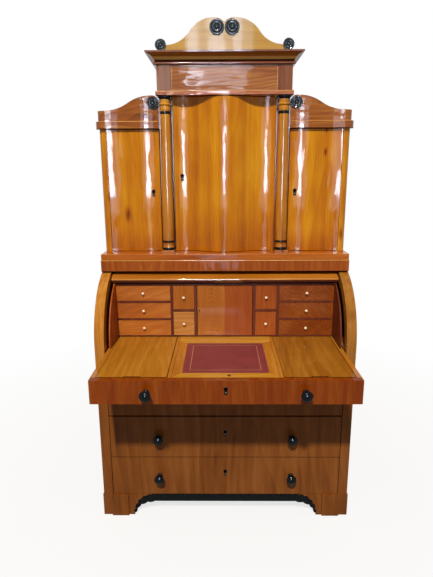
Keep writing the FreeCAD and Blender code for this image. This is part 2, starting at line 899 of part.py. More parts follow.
def make_pins():
    pins = both_sides([cross_pin(fall_pin_radius, lining_outer, side_inner, axis_y, axis_z)])
    pins += hinge_pins(hinge_pin_radius, centre_pin_x, centre_pin_y, architrave_bottom)
    pins += both_sides(hinge_pins(hinge_pin_radius, wing_pin_x, wing_pin_y, wing_top))
    pins += prospect_pins(prospect_pin_radius)
    save("pivot_pins", pins)


# Fixed parts of the upper cabinet


def corner_point(radius, turn):
    """A point on the wing's rounded corner, at an angle from straight ahead (0) to its side (90)."""
    return wing_corner + Vector(radius * math.sin(turn), -radius * math.cos(turn), 0)


def wing_contour(offset):
    """The front of the right wing with its rounded corner, moved outwards by offset."""
    side_turn = math.radians(90)
    radius = wing_corner_radius + offset
    start = corner_point(radius, -corner_turn)
    bend = corner_point(radius, (side_turn - corner_turn) / 2)
    side = corner_point(radius, side_turn)
    return wing_line(offset, centre_half_width, start.x) + [arc(start, bend, side)]


def wing_wrap(outer, inner):
    """Plan of a strip along the wing's front, round its corner and back along its side."""
    lines = []
    for offset in (outer, -inner):
        side_x = wing_half_width + offset
        side = line(Vector(side_x, wing_corner.y, 0), Vector(side_x, case_depth, 0))
        lines.append(wing_contour(offset) + [side])
    return between(lines[0], lines[1])


def crest_outline(low, high):
    """A crest seen from the front: a round shoulder, a wave down to its outer end, and a level foot."""
    radius = wave_radius(crest_slope_outer - crest_slope_inner, high - low)
    crown = Vector(crest_slope_inner, high - radius, 0)
    hollow = Vector(crest_slope_outer, low + radius, 0)
    meet = meeting_x(crown, hollow, radius)
    shoulder = Vector(centre_half_width + crest_shoulder, high - crest_shoulder, 0)
    slant = crest_shoulder * math.sqrt(0.5)
    inner_high = shoulder - Vector(crest_shoulder, 0, 0)
    shoulder_top = shoulder + Vector(0, crest_shoulder, 0)
    outer_x = wing_half_width + band_proud
    ends = [
        Vector(crest_slope_outer, low, 0), Vector(outer_x, low, 0), Vector(outer_x, band_top, 0),
        Vector(centre_half_width, band_top, 0), inner_high,
    ]
    edges = [line(near, far) for near, far in zip(ends, ends[1:])]
    edges.append(arc(inner_high, shoulder + Vector(-slant, slant, 0), shoulder_top))
    if crest_slope_inner > shoulder_top.x:
        edges.append(line(shoulder_top, Vector(crest_slope_inner, high, 0)))
    edges.append(arc_along(crown, radius, crest_slope_inner, meet, 1))
    edges.append(arc_along(hollow, radius, meet, crest_slope_outer, -1))
    return edges


def make_wings():
    out = wing_half_width
    side = board(out - cabinet_wall, out, wing_corner.y, case_depth, slab_top, wing_top)
    post = upright_pin(wing_corner_radius, wing_corner.x, wing_corner.y, slab_top, wing_top)
    corner_front = wing_corner.y - wing_corner_radius
    quarter = board(wing_meet_x, out, corner_front, wing_corner.y, slab_top, wing_top)
    save("wing_sides", both_sides([side, shared(post, quarter)]))

    band = prism(wing_wrap(band_proud, cabinet_wall), Vector(0, 0, band_height))
    band.translate(Vector(0, 0, wing_top))
    save("wing_bands", both_sides([band]))

    crest = prism(wing_wrap(crest_proud, cabinet_wall), Vector(0, 0, crest_high_height))
    crest.translate(Vector(0, 0, band_top))
    crest_top = band_top + crest_high_height
    shape = prism(crest_outline(band_top + crest_low_height, crest_top), Vector(0, 0, -case_depth))
    shape.rotate(Vector(0, 0, 0), Vector(1, 0, 0), 90)
    crest = shared(crest, shape)
    # The crest stops short of the architrave's end.
    end = centre_half_width + architrave_proud + crest_gap
    end_low = architrave_bottom - crest_gap
    end_high = max(crest_top, architrave_top)
    save("wing_crests", both_sides([cut(crest, board(0, end, 0, case_depth, end_low, end_high))]))


def make_cabinet():
    side = board(
        centre_half_width - cabinet_wall, centre_half_width, post_setback + post_thickness, back_front,
        slab_top, architrave_bottom,
    )
    save("cabinet_sides", both_sides([side]))
    post = board(
        centre_half_width - post_width, centre_half_width, post_setback, post_setback + post_thickness,
        slab_top, architrave_bottom,
    )
    save("column_posts", both_sides([post]))
    wing_inner = wing_half_width - cabinet_wall
    centre_back = board(
        -centre_half_width, centre_half_width, back_front, case_depth, slab_top, architrave_bottom
    )
    wing_back = board(centre_half_width, wing_inner, back_front, case_depth, slab_top, wing_top)
    save("cabinet_back", [centre_back] + both_sides([wing_back]))
    centre_shelf = centre_half_width - cabinet_wall
    shelves = []
    for rise in centre_shelf_rises:
        z = slab_top + rise
        top = z + shelf_thickness
        shelves.append(board(-centre_shelf, centre_shelf, shelf_setback, back_front, z, top))
    wing_boards = []
    for rise in wing_shelf_rises:
        z = slab_top + rise
        wing_boards.append(
            board(centre_half_width, wing_inner, shelf_setback, back_front, z, z + shelf_thickness)
        )
    # The top board of a wing lies inside the band, so no light comes in over the door.
    rear = line(Vector(centre_half_width, case_depth, 0), Vector(wing_inner, case_depth, 0))
    wing_roof = prism(between(wing_contour(-cabinet_wall), [rear]), Vector(0, 0, shelf_thickness))
    wing_roof.translate(Vector(0, 0, wing_top))
    wing_boards.append(wing_roof)
    save("cabinet_shelves", shelves + both_sides(wing_boards))


def make_columns():
    x = centre_half_width - column_inset
    half = column_plinth_size / 2
    plinth_top = slab_top + column_plinth_height
    plinth = board(x - half, x + half, column_setback - half, column_setback + half, slab_top, plinth_top)
    ring_top = column_plinth_height + base_ring_height
    foot_top = ring_top + column_foot_height
    shaft_low = foot_top + lower_band_height
    capital_low = centre_height - capital_height
    collar_low = capital_low - collar_height
    shaft_high = collar_low - upper_band_height
    shaft_middle = (shaft_low + shaft_high) / 2
    swollen = (shaft_bottom_radius + shaft_top_radius) / 2 + shaft_swell
    lower_band = shaft_bottom_radius + band_stand_out
    upper_band = shaft_top_radius + band_stand_out
    waist = shaft_bottom_radius - band_stand_out
    bead = collar_height * 0.6
    foot = turned([
        (0, ring_top), (lower_band, ring_top),
        (waist, (ring_top + foot_top) / 2, shaft_bottom_radius, foot_top), (0, foot_top),
    ])
    shaft = turned([
        (0, shaft_low), (shaft_bottom_radius, shaft_low),
        (swollen, shaft_middle, shaft_top_radius, shaft_high), (0, shaft_high),
    ])
    collar = turned([
        (0, collar_low), (shaft_top_radius, collar_low),
        (shaft_top_radius * 1.1, collar_low + bead * 0.5, shaft_top_radius * 0.98, collar_low + bead * 0.8),
        (collar_radius, collar_low + bead, shaft_top_radius * 0.98, collar_low + bead * 1.2),
        (shaft_top_radius * 1.04, collar_low + collar_height * 0.86,
         upper_band, collar_low + collar_height),
        (0, collar_low + collar_height),
    ])
    base_ring = turned([
        (0, column_plinth_height), (base_ring_radius - band_stand_out, column_plinth_height),
        (base_ring_radius, column_plinth_height + base_ring_height / 2,
         base_ring_radius - band_stand_out, ring_top), (0, ring_top),
    ])
    low_ring = turned([
        (0, foot_top), (shaft_bottom_radius, foot_top),
        (lower_band, foot_top + lower_band_height / 2, shaft_bottom_radius, shaft_low), (0, shaft_low),
    ])
    high_ring = turned([
        (0, shaft_high), (shaft_top_radius, shaft_high),
        (upper_band, shaft_high + upper_band_height / 2, shaft_top_radius, collar_low), (0, collar_low),
    ])
    capital = turned([
        (0, capital_low), (upper_band, capital_low),
        (upper_band + band_stand_out, capital_low + capital_height * 0.4,
         capital_radius, capital_low + capital_height * 0.55),
        (capital_radius, centre_height), (0, centre_height),
    ])
    wood = [foot, shaft, collar]
    black = [base_ring, low_ring, high_ring, capital]
    for piece in wood + black:
        piece.translate(Vector(x, column_setback, slab_top))
    save("column_shafts", both_sides([plinth] + wood))
    save("column_rings", both_sides(black))


# Architrave, frieze, cornice, pediment and rosettes


def frieze_moulding(profile):
    """The same moulding on the front and both sides of the frieze, mitred at its corners.

    The profile holds edges with X as the stand-out from the frieze and Y as the height.
    """
    face = Part.Face(Part.Wire(Part.__sortEdges__(profile)))
    reach = bead_proud + cove_proud + cap_overhang
    half = centre_half_width
    front = frieze_setback
    run = half + reach
    bar = face.extrude(Vector(0, 0, 2 * run))
    along_x = bar.copy()
    along_x.Placement = FreeCAD.Placement(
        Vector(run, front, 0),
        FreeCAD.Rotation(Vector(0, -1, 0), Vector(0, 0, 1), Vector(-1, 0, 0), "XYZ"),
    )
    length = case_depth - front + reach
    bar = face.extrude(Vector(0, 0, length))
    along_y = bar.copy()
    along_y.Placement = FreeCAD.Placement(
        Vector(half, case_depth, 0),
        FreeCAD.Rotation(Vector(1, 0, 0), Vector(0, 0, 1), Vector(0, -1, 0), "XYZ"),
    )
    out = Vector(half + reach, front - reach, 0)
    into = Vector(half - moulding_seat, front + moulding_seat, 0)
    rear_out = Vector(half + reach, case_depth, 0)
    rear_in = Vector(half - moulding_seat, case_depth, 0)
    tall = Vector(0, 0, cap_top)
    side_space = prism(outline([out, rear_out, rear_in, into]), tall)
    front_space = prism(
        outline([Vector(-out.x, out.y, 0), out, into, Vector(-into.x, into.y, 0)]), tall
    )
    side = shared(along_y, side_space)
    return [shared(along_x, front_space), side, mirrored(side)]


def make_entablature():
    half = centre_half_width
    out = half + architrave_proud
    architrave = board(
        -out, out, frieze_setback - architrave_proud, case_depth, architrave_bottom, architrave_top
    )
    save("architrave", [architrave])

    block_x = half - frieze_block_width
    frieze_y = frieze_setback + frieze_thickness
    block_y = frieze_setback - frieze_block_proud
    block = board(block_x, half, block_y, frieze_y, architrave_top, frieze_top)
    side = board(half - cabinet_wall, half, frieze_y, case_depth, architrave_top, frieze_top)
    rear = board(
        cabinet_wall - half, half - cabinet_wall, back_front, case_depth, architrave_top, cove_top
    )
    panel = board(-block_x, block_x, frieze_setback, frieze_y, architrave_top, frieze_top)
    save("frieze", [panel, rear] + both_sides([block, side]))

    seat = -moulding_seat
    bead_middle = Vector(bead_proud, (frieze_top + bead_top) / 2, 0)
    bead_low = Vector(bead_proud - bead_height / 2, frieze_top, 0)
    bead_high = Vector(bead_proud - bead_height / 2, bead_top, 0)
    bead = [
        line(Vector(seat, frieze_top, 0), bead_low), arc(bead_low, bead_middle, bead_high),
        line(bead_high, Vector(seat, bead_top, 0)),
        line(Vector(seat, bead_top, 0), Vector(seat, frieze_top, 0)),
    ]
    cove_start = Vector(bead_proud - bead_height / 2, bead_top, 0)
    cove_end = Vector(cove_proud, cove_top, 0)
    cove_middle = Vector(
        cove_start.x + (cove_end.x - cove_start.x) * 0.36, bead_top + cove_height * 0.64, 0
    )
    cove = [
        arc(cove_start, cove_middle, cove_end), line(cove_end, Vector(seat, cove_top, 0)),
        line(Vector(seat, cove_top, 0), Vector(seat, bead_top, 0)),
        line(Vector(seat, bead_top, 0), cove_start),
    ]
    save("cornice", frieze_moulding(bead) + frieze_moulding(cove))

    cap_half = half + cove_proud + cap_overhang
    cap_front = frieze_setback - cove_proud - cap_overhang
    save("cornice_cap", [board(-cap_half, cap_half, cap_front, case_depth, cove_top, cap_top)])


def make_pediment():
    peak = Vector(pediment_peak_x, cap_top + pediment_peak, 0)
    foot = Vector(pediment_half_width - pediment_end_flat, cap_top + pediment_end, 0)
    end_high = Vector(pediment_half_width, cap_top + pediment_end, 0)
    end_low = Vector(pediment_half_width, cap_top, 0)
    middle_low = Vector(0, cap_top, 0)
    dip = Vector(0, cap_top + pediment_dip, 0)
    bow = Vector(pediment_peak_x * 0.4, peak.y - (peak.y - dip.y) * 0.22, 0)
    radius = wave_radius(foot.x - peak.x, peak.y - foot.y)
    crown = Vector(peak.x, peak.y - radius, 0)
    hollow = Vector(foot.x, foot.y + radius, 0)
    meet = meeting_x(crown, hollow, radius)
    edges = [
        line(middle_low, dip), arc(dip, bow, peak),
        arc_along(crown, radius, peak.x, meet, 1), arc_along(hollow, radius, meet, foot.x, -1),
        line(foot, end_high), line(end_high, end_low), line(end_low, middle_low),
    ]
    half = prism(edges, Vector(0, 0, -pediment_thickness))
    half.rotate(Vector(0, 0, 0), Vector(1, 0, 0), 90)
    half.translate(Vector(0, pediment_setback, 0))
    save("pediment", [joined(half, mirrored(half))])


def rosette(radius):
    height = radius * rosette_height_share
    return turned([
        (0, 0), (radius * 0.92, 0), (radius, height * 0.3, radius * 0.84, height * 0.5),
        (radius * 0.68, height * 0.36),
        (radius * 0.54, height * 0.8, radius * 0.38, height * 0.58),
        dome(radius * 0.38, height * 0.58, height),
    ])


def make_rosettes():
    large = facing_front(
        rosette(large_rosette_radius), large_rosette_x, pediment_setback, cap_top + large_rosette_rise
    )
    end = facing_front(
        rosette(end_rosette_radius), pediment_half_width, pediment_setback, cap_top + end_rosette_rise
    )
    # The rosette of a wing lies flat on the bulge of the crest, so it is turned with it.
    wing_x = centre_half_width + wing_rosette_inset
    crest_radius = wing_bulge_radius + crest_proud
    crest_turn = math.asin((wing_bulge.x - wing_x) / crest_radius)
    crest_y = wing_bulge.y - crest_radius * math.cos(crest_turn)
    rosette_z = band_top + wing_rosette_rise
    wing = facing_front(rosette(wing_rosette_radius), wing_x, crest_y, rosette_z)
    wing.rotate(Vector(wing_x, crest_y, rosette_z), Vector(0, 0, -1), math.degrees(crest_turn))
    save("rosettes", both_sides([large, end, wing]))


def make_all():
    os.makedirs("parts", exist_ok=True)
    make_case()
    make_feet()
    make_drawer("bottom_drawer", level_bottom, bottom_drawer_height, front_gap)
    make_drawer("middle_drawer", level_middle, middle_drawer_height, front_gap)
    make_drawer("top_drawer", level_top, top_drawer_height, top_drawer_joint)
    make_slide()
    make_fall()
    make_pigeonholes()
    make_doors()
    make_pins()
    make_wings()
    make_cabinet()
    make_columns()
    make_entablature()
    make_pediment()
    make_rosettes()


make_all()
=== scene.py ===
# %% [markdown]
# # A cylinder bureau with a cabinet on top, in polished cherry
#
# The lower case holds long drawers and a writing slide that is pulled out. A quarter-round fall is turned
# up behind the top rail, so the small drawers and the prospect door show. On top stands a cabinet with
# curved solid doors, two columns, a frieze, a cornice and a pediment.
#
# The solids come from the CAD frame, in metres, with +X to the viewer's right, +Y to the back and +Z up.
# This script eases their edges, gives each piece its wood, leather or metal, adds the small fittings, and
# sets the light and the camera.

# %% The frame
import bpy
import bmesh
import json
import math
from mathutils import Matrix, Vector
from mathutils.bvhtree import BVHTree


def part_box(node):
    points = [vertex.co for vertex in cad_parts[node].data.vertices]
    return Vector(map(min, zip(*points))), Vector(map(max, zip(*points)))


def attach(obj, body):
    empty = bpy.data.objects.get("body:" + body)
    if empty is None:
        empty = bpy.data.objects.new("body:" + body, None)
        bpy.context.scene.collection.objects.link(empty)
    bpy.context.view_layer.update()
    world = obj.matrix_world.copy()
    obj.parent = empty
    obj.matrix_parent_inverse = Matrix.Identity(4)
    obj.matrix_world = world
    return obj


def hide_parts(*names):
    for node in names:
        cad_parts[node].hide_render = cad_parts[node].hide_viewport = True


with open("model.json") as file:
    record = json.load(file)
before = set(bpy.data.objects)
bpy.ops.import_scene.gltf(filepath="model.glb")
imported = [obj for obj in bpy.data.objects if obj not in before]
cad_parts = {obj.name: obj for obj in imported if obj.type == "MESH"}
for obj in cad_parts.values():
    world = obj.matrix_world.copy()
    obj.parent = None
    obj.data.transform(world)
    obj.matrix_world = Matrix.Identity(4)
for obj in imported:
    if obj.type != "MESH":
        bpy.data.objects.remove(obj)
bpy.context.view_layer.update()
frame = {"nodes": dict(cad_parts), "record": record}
MM = 0.001
bodies = frame["record"]["behaviour"]["bodies"]
body_of = {node: body for body, group in bodies.items() for node in group}

# %% [markdown]
# ## The camera
#
# The photograph was taken from standing eye height, a little left of the middle, with the lens tipped down.
# A camera's matrix can be built from three directions: right, up and backwards. That is clearer than three
# turns, because each direction can be read off on its own. The sensor is fitted to the picture's height, so
# the focal length in millimetres follows from the focal length in picture heights.

# %% Camera
PICTURE_HEIGHT = 577
FOCAL_PIXELS = 489.2
SENSOR_MM = 36.0
PITCH = 0.2370
YAW = -0.0104
ROLL = -0.0048
EYE_X = -0.0151
EYE_DISTANCE = 1.9727      # from the fronts of the long drawers
EYE_HEIGHT = 1.56

forward = Vector((math.cos(PITCH) * math.sin(YAW), math.cos(PITCH) * math.cos(YAW), -math.sin(PITCH)))
level_right = Vector((math.cos(YAW), -math.sin(YAW), 0))
level_up = level_right.cross(forward)
right = math.cos(ROLL) * level_right + math.sin(ROLL) * level_up
up = math.cos(ROLL) * level_up - math.sin(ROLL) * level_right
eye = Vector((EYE_X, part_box("middle_drawer_front")[0].y - EYE_DISTANCE, EYE_HEIGHT))

camera_data = bpy.data.cameras.new("camera")
camera_data.sensor_fit = "VERTICAL"
camera_data.sensor_height = SENSOR_MM
camera_data.lens = SENSOR_MM * FOCAL_PIXELS / PICTURE_HEIGHT
camera = bpy.data.objects.new("camera", camera_data)
camera.matrix_world = Matrix.Translation(eye) @ Matrix((right, up, -forward)).transposed().to_4x4()
bpy.context.scene.collection.objects.link(camera)
bpy.context.scene.camera = camera
print("camera lens:", round(camera_data.lens, 2), "mm")

# %% [markdown]
# ## Colours and nodes
#
# Colours are written as the hex values that a paint program shows, which are sRGB. Shaders work in linear
# light, so one function turns them. A second small function adds a node, sets its properties and the stops
# of its colour ramp, and fills its inputs: a socket is linked and anything else is set as a value.

# %% Colour and node helpers


def linear(hex_colour):
    channels = [int(hex_colour[place:place + 2], 16) / 255 for place in (1, 3, 5)]
    return [c / 12.92 if c <= 0.04045 else ((c + 0.055) / 1.055) ** 2.4 for c in channels] + [1.0]


def add(tree, kind, inputs=None, stops=(), **settings):
    node = tree.nodes.new(kind)
    for name, value in settings.items():
        setattr(node, name, value)
    for number, (place, colour) in enumerate(stops):
        steps = node.color_ramp.elements
        step = steps[number] if number < len(steps) else steps.new(place)
        step.position = place
        step.color = linear(colour)
    for key, value in (inputs or {}).items():
        if isinstance(value, bpy.types.NodeSocket):
            tree.links.new(value, node.inputs[key])
        else:
            node.inputs[key].default_value = value
    return node


def new_material(name):
    material = bpy.data.materials.new(name)
    material.use_nodes = True
    material.node_tree.nodes.clear()
    return material, material.node_tree


print("cherry ground colour, linear:", [round(v, 3) for v in linear("#B8741C")])

# %% [markdown]
# ## The backdrop
#
# A studio stands furniture in front of white paper, in soft light from all round. The world does both jobs.
# To the wood it is a weak, even light that fills the shadows. Rays from the camera, from mirror-like
# surfaces and through glass see white paper instead, so the bright background puts no extra light on the
# wood. The Light Path node tells these rays apart.

# %% Backdrop
FILL_STRENGTH = 0.30


def seen_directly(tree):
    """1 for rays that look at the backdrop or the floor: straight, in a reflection or through glass."""
    path = add(tree, "ShaderNodeLightPath").outputs
    straight, mirrored, through = path["Is Camera Ray"], path["Is Glossy Ray"], path["Is Transmission Ray"]
    seen = add(tree, "ShaderNodeMath", {0: straight, 1: mirrored}, operation="MAXIMUM").outputs[0]
    return add(tree, "ShaderNodeMath", {0: seen, 1: through}, operation="MAXIMUM").outputs[0]


world = bpy.data.worlds.new("studio")
bpy.context.scene.world = world
world.use_nodes = True
tree = world.node_tree
tree.nodes.clear()
fill = add(tree, "ShaderNodeBackground", {"Color": linear("#F4F6FA"), "Strength": FILL_STRENGTH}).outputs[0]
paper = add(tree, "ShaderNodeBackground", {"Color": linear("#FFFFFF"), "Strength": 1.0}).outputs[0]
mixed = add(tree, "ShaderNodeMixShader", {0: seen_directly(tree), 1: fill, 2: paper}).outputs[0]
add(tree, "ShaderNodeOutputWorld", {"Surface": mixed})
print("fill light:", FILL_STRENGTH)

# %% [markdown]
# ## Lamps
#
# Polish is a clear, hard film. A curved door shows each light in it as a long bright streak, and a flat
# board shows it only where the angle is right. The key lamp stands high in front, a little to the left, and
# throws the slide's shadow on the drawers. All other lamps stand behind the camera and are hidden from
# diffuse rays, so they show in the polish and add no light to the wood. That way each sheen can be placed
# on its own. Where two of them overlap only the nearer one is seen, so the panes stand just in front of the
# skylight.

# %% Key lamp
KEY_PLACE = (-1.0, -8.3, 10.05)
KEY_TARGET = (0, -0.1, 1.0)
KEY_SIDE = 0.5
KEY_BRIGHTNESS = 1890
KEY_COLOUR = "#FFF6EA"


def lamp(name, place, target, width, height, brightness, colour, only_in_polish):
    """A flat lamp. Brightness is how bright its face looks, whatever its size."""
    data = bpy.data.lights.new(name, "AREA")
    data.shape = "RECTANGLE"
    data.size = width
    data.size_y = height
    data.energy = brightness * math.pi * width * height
    data.color = linear(colour)[:3]
    obj = bpy.data.objects.new(name, data)
    obj.location = place
    obj.rotation_euler = (Vector(target) - Vector(place)).to_track_quat("-Z", "Y").to_euler()
    obj.visible_diffuse = not only_in_polish
    bpy.context.scene.collection.objects.link(obj)


lamp("key", KEY_PLACE, KEY_TARGET, KEY_SIDE, KEY_SIDE, KEY_BRIGHTNESS, KEY_COLOUR, only_in_polish=False)
print("key lamp at:", KEY_PLACE)

# %% Lamps that show only in the polish
WINDOW_Y = -4.2
WALL_Y = -4.3
PANE_Y = WINDOW_Y + 0.02
DAYLIGHT = "#E2EDFF"
WARM_DAYLIGHT = "#FFEFD7"
SKY = "#CCE0F8"

for name, x, y, z, width, height, brightness, colour in (
    ("window", -0.05, WINDOW_Y, 1.65, 0.55, 0.85, 95, DAYLIGHT),      # streaks on the doors and columns
    ("window_foot", -0.05, WINDOW_Y, 0.75, 0.55, 0.9, 7, DAYLIGHT),      # their faint lower ends
    ("window_top", -0.05, WINDOW_Y, 2.30, 0.55, 0.22, 32, DAYLIGHT),      # their softer upper ends
    ("side_window", -0.34, WINDOW_Y, 2.68, 0.26, 0.2, 60, DAYLIGHT),      # the bright patch of the frieze
    ("wall", 0.0, WALL_Y, 1.7, 1.8, 1.3, 7, DAYLIGHT),      # a pale sheen around the streaks
    ("ceiling", 0.0, WALL_Y, 3.0, 2.6, 1.1, 2.5, DAYLIGHT),      # a pale sheen above the doors
    ("ceiling_panel", 0.06, WINDOW_Y, 2.72, 0.55, 0.3, 19, DAYLIGHT),      # the middle of the frieze
    ("corner_panel", -0.735, WINDOW_Y, 2.72, 0.21, 0.4, 12, WARM_DAYLIGHT),      # the frieze's left block
    ("skylight", -0.02, WINDOW_Y, 3.16, 0.78, 0.6, 15, SKY),      # the cool sheen of the pediment
    ("skylight_pane", -0.367, PANE_Y, 3.16, 0.15, 0.6, 28, SKY),
    ("skylight_pane", -0.072, PANE_Y, 3.16, 0.21, 0.6, 28, SKY),
    ("skylight_pane", 0.189, PANE_Y, 3.16, 0.1, 0.6, 28, SKY),
):
    lamp(name, (x, y, z), (x, y + 1, z), width, height, brightness, colour, only_in_polish=True)

# %% [markdown]
# ## The floor
#
# The floor is plain white and keeps the shadow of the bureau. Near the feet part of its brightness is the
# light that falls on it. Further away its own white takes over, so it runs into the backdrop with no line.
# A white floor would also throw light up under the slide, where the photograph is dark, so it is grey for
# light that has bounced off the wood.

# %% Floor
FLOOR_HALF = 20.0
SHADOW_REACH = (0.9, 2.6)
WHITE_NEAR = 0.75
floor_mesh = bpy.data.meshes.new("floor")
corners = [(x * FLOOR_HALF, y * FLOOR_HALF, 0) for x, y in ((-1, -1), (1, -1), (1, 1), (-1, 1))]
floor_mesh.from_pydata(corners, [], [(0, 1, 2, 3)])
floor = bpy.data.objects.new("floor", floor_mesh)
bpy.context.scene.collection.objects.link(floor)
material, tree = new_material("white_floor")
on_floor = add(tree, "ShaderNodeTexCoord").outputs["Object"]
away = add(tree, "ShaderNodeVectorMath", {0: on_floor}, operation="LENGTH").outputs["Value"]
own_white = add(tree, "ShaderNodeMapRange", {
    "Value": away, "From Min": SHADOW_REACH[0], "From Max": SHADOW_REACH[1],
    "To Min": WHITE_NEAR, "To Max": 1.0,
}).outputs[0]
seen = seen_directly(tree)
own_white = add(tree, "ShaderNodeMath", {0: own_white, 1: seen}, operation="MULTIPLY").outputs[0]
bounced = add(tree, "ShaderNodeLightPath").outputs["Is Diffuse Ray"]
shades = {0: bounced, 6: linear("#F4F4F4"), 7: linear("#808080")}
shade = add(tree, "ShaderNodeMix", shades, data_type="RGBA").outputs[2]
lit = add(tree, "ShaderNodeBsdfDiffuse", {"Color": shade}).outputs[0]
white = add(tree, "ShaderNodeEmission", {"Color": linear("#FFFFFF"), "Strength": 1.0}).outputs[0]
mixed = add(tree, "ShaderNodeMixShader", {0: own_white, 1: lit, 2: white}).outputs[0]
add(tree, "ShaderNodeOutputMaterial", {"Surface": mixed})
floor_mesh.materials.append(material)
print("floor:", 2 * FLOOR_HALF, "m square")

# %% [markdown]
# ## Patterns of the wood
#
# Cherry has fine pores, broad streaks along the grain, and growth rings that show as soft arches where the
# saw cut across them. An image would stretch over the curved doors. Noise and rings in object space run
# through the whole piece as in solid wood, so every face fits its neighbours. The grain axis is turned onto
# Z first, and the board is bent a little, because no log is straight.

# %% Patterns of the wood
TO_Z = {"X": (0, -math.pi / 2, 0), "Y": (math.pi / 2, 0, 0), "Z": (0, 0, 0)}
BEND_LENGTH_MM = 200
RING_UNIT = 2 * math.pi / 20      # a ring texture of scale 1 repeats every 2 pi / 20 units
HALF = (0.5, 0.5, 0.5)


def mottle(tree, point, size_mm, detail, stretch=(1, 1, 1)):
    """A soft random pattern of one size. A small stretch on an axis draws it out along that axis."""
    drawn = add(tree, "ShaderNodeMapping", {"Vector": point, "Scale": stretch}).outputs[0]
    size = {"Vector": drawn, "Scale": 1 / (size_mm * MM), "Detail": detail}
    return add(tree, "ShaderNodeTexNoise", size).outputs


def board_points(tree, on_piece, grain, heart, bend_mm):
    """Places in the board, measured from the heart with the grain on Z: first straight, then bent."""
    point = add(tree, "ShaderNodeVectorMath", {0: on_piece, 1: heart}, operation="SUBTRACT").outputs[0]
    upright = add(tree, "ShaderNodeMapping", {"Vector": point, "Rotation": TO_Z[grain]}).outputs[0]
    bend = mottle(tree, upright, BEND_LENGTH_MM, 2.0, (1, 1, 0.3))["Color"]
    bend = add(tree, "ShaderNodeVectorMath", {0: bend, 1: HALF}, operation="SUBTRACT").outputs[0]
    shift = {0: bend, 1: [bend_mm * MM] * 3, 2: upright}
    return upright, add(tree, "ShaderNodeVectorMath", shift, operation="MULTIPLY_ADD").outputs[0]


def growth_rings(tree, bent, ring_mm, tilt):
    """Rings about the heart. A tilted heart gives arches, and a straight one gives lines."""
    turn = (math.radians(tilt[0]), math.radians(tilt[1]), 0)
    turned = add(tree, "ShaderNodeMapping", {"Vector": bent, "Rotation": turn}).outputs[0]
    rings = add(
        tree, "ShaderNodeTexWave", {"Vector": turned, "Scale": RING_UNIT / (ring_mm * MM), "Distortion": 2.0,
                                    "Detail": 2.0, "Detail Scale": 0.7},
        wave_type="RINGS", rings_direction="Z", wave_profile="SAW",
    )
    return rings.outputs["Fac"]


print("grain axes:", list(TO_Z))

# %% [markdown]
# ## Tone, knots and painted shade at the foot
#
# The patterns are not colours yet. Each one makes a single tone a little darker or paler, and in the end
# that tone reads a ramp of real wood colours. So the colours can be changed without touching the grain.
# Knots, and the painted shade that darkens the feet of the doors and columns, only take the tone down.

# %% Tone of the wood
KNOT_DARKER = 0.45
KNOT_SHAPE = (1, 0.3, 0.4)      # drawn out along the grain, and deep enough to reach through the board
DOOR_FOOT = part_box("centre_door")[0].z


def centred(tree, pattern, share, tone):
    """Adds a pattern of 0 to 1 to a tone, as much darker as paler."""
    offset = add(tree, "ShaderNodeMath", {0: pattern, 1: 0.5}, operation="SUBTRACT").outputs[0]
    return add(tree, "ShaderNodeMath", {0: offset, 1: share, 2: tone}, operation="MULTIPLY_ADD").outputs[0]


def darkened(tree, tone, away, start, reach, darker, fade):
    """A tone that is darker at the start of a distance and itself again beyond reach."""
    dark = add(tree, "ShaderNodeMapRange", {
        "Value": away, "From Min": start, "From Max": start + reach, "To Min": -darker, "To Max": 0.0,
    }, interpolation_type=fade).outputs[0]
    return add(tree, "ShaderNodeMath", {0: tone, 1: dark}, operation="ADD").outputs[0]


def knotted(tree, tone, bent, from_heart, size_mm):
    """A tone with one dark knot in it."""
    away = add(tree, "ShaderNodeVectorMath", {0: bent, 1: from_heart}, operation="SUBTRACT").outputs[0]
    away = add(tree, "ShaderNodeVectorMath", {0: away, 1: KNOT_SHAPE}, operation="MULTIPLY").outputs[0]
    away = add(tree, "ShaderNodeVectorMath", {0: away}, operation="LENGTH").outputs["Value"]
    return darkened(tree, tone, away, 0.0, size_mm * MM, KNOT_DARKER, "SMOOTHERSTEP")


print("door foot:", round(DOOR_FOOT, 3), "m")

# %% [markdown]
# ## Polished wood
#
# Under the polish the wood is matt. The polish itself is the shader's clear coat, with its own gloss. It
# follows the slight waves of veneer that was laid by hand, which breaks the edges of the bright streaks. A
# turned or scraped piece has hardly any wave, so its highlights stay clean.

# %% Polished wood
FIBRE_MM = 3.0      # real pores are ten times finer, which no picture of the whole bureau could show
FIBRE_SHARE = 0.4
BLOTCH_MM = 140.0
WAVE_MM = 30.0
WAVE_DEPTH_MM = 1.2
PORE_DEPTH_MM = 0.3
MIDDLE_TONE = 0.5
TONE_PLACES = (0.0, 0.2, 0.42, 0.58, 0.85)


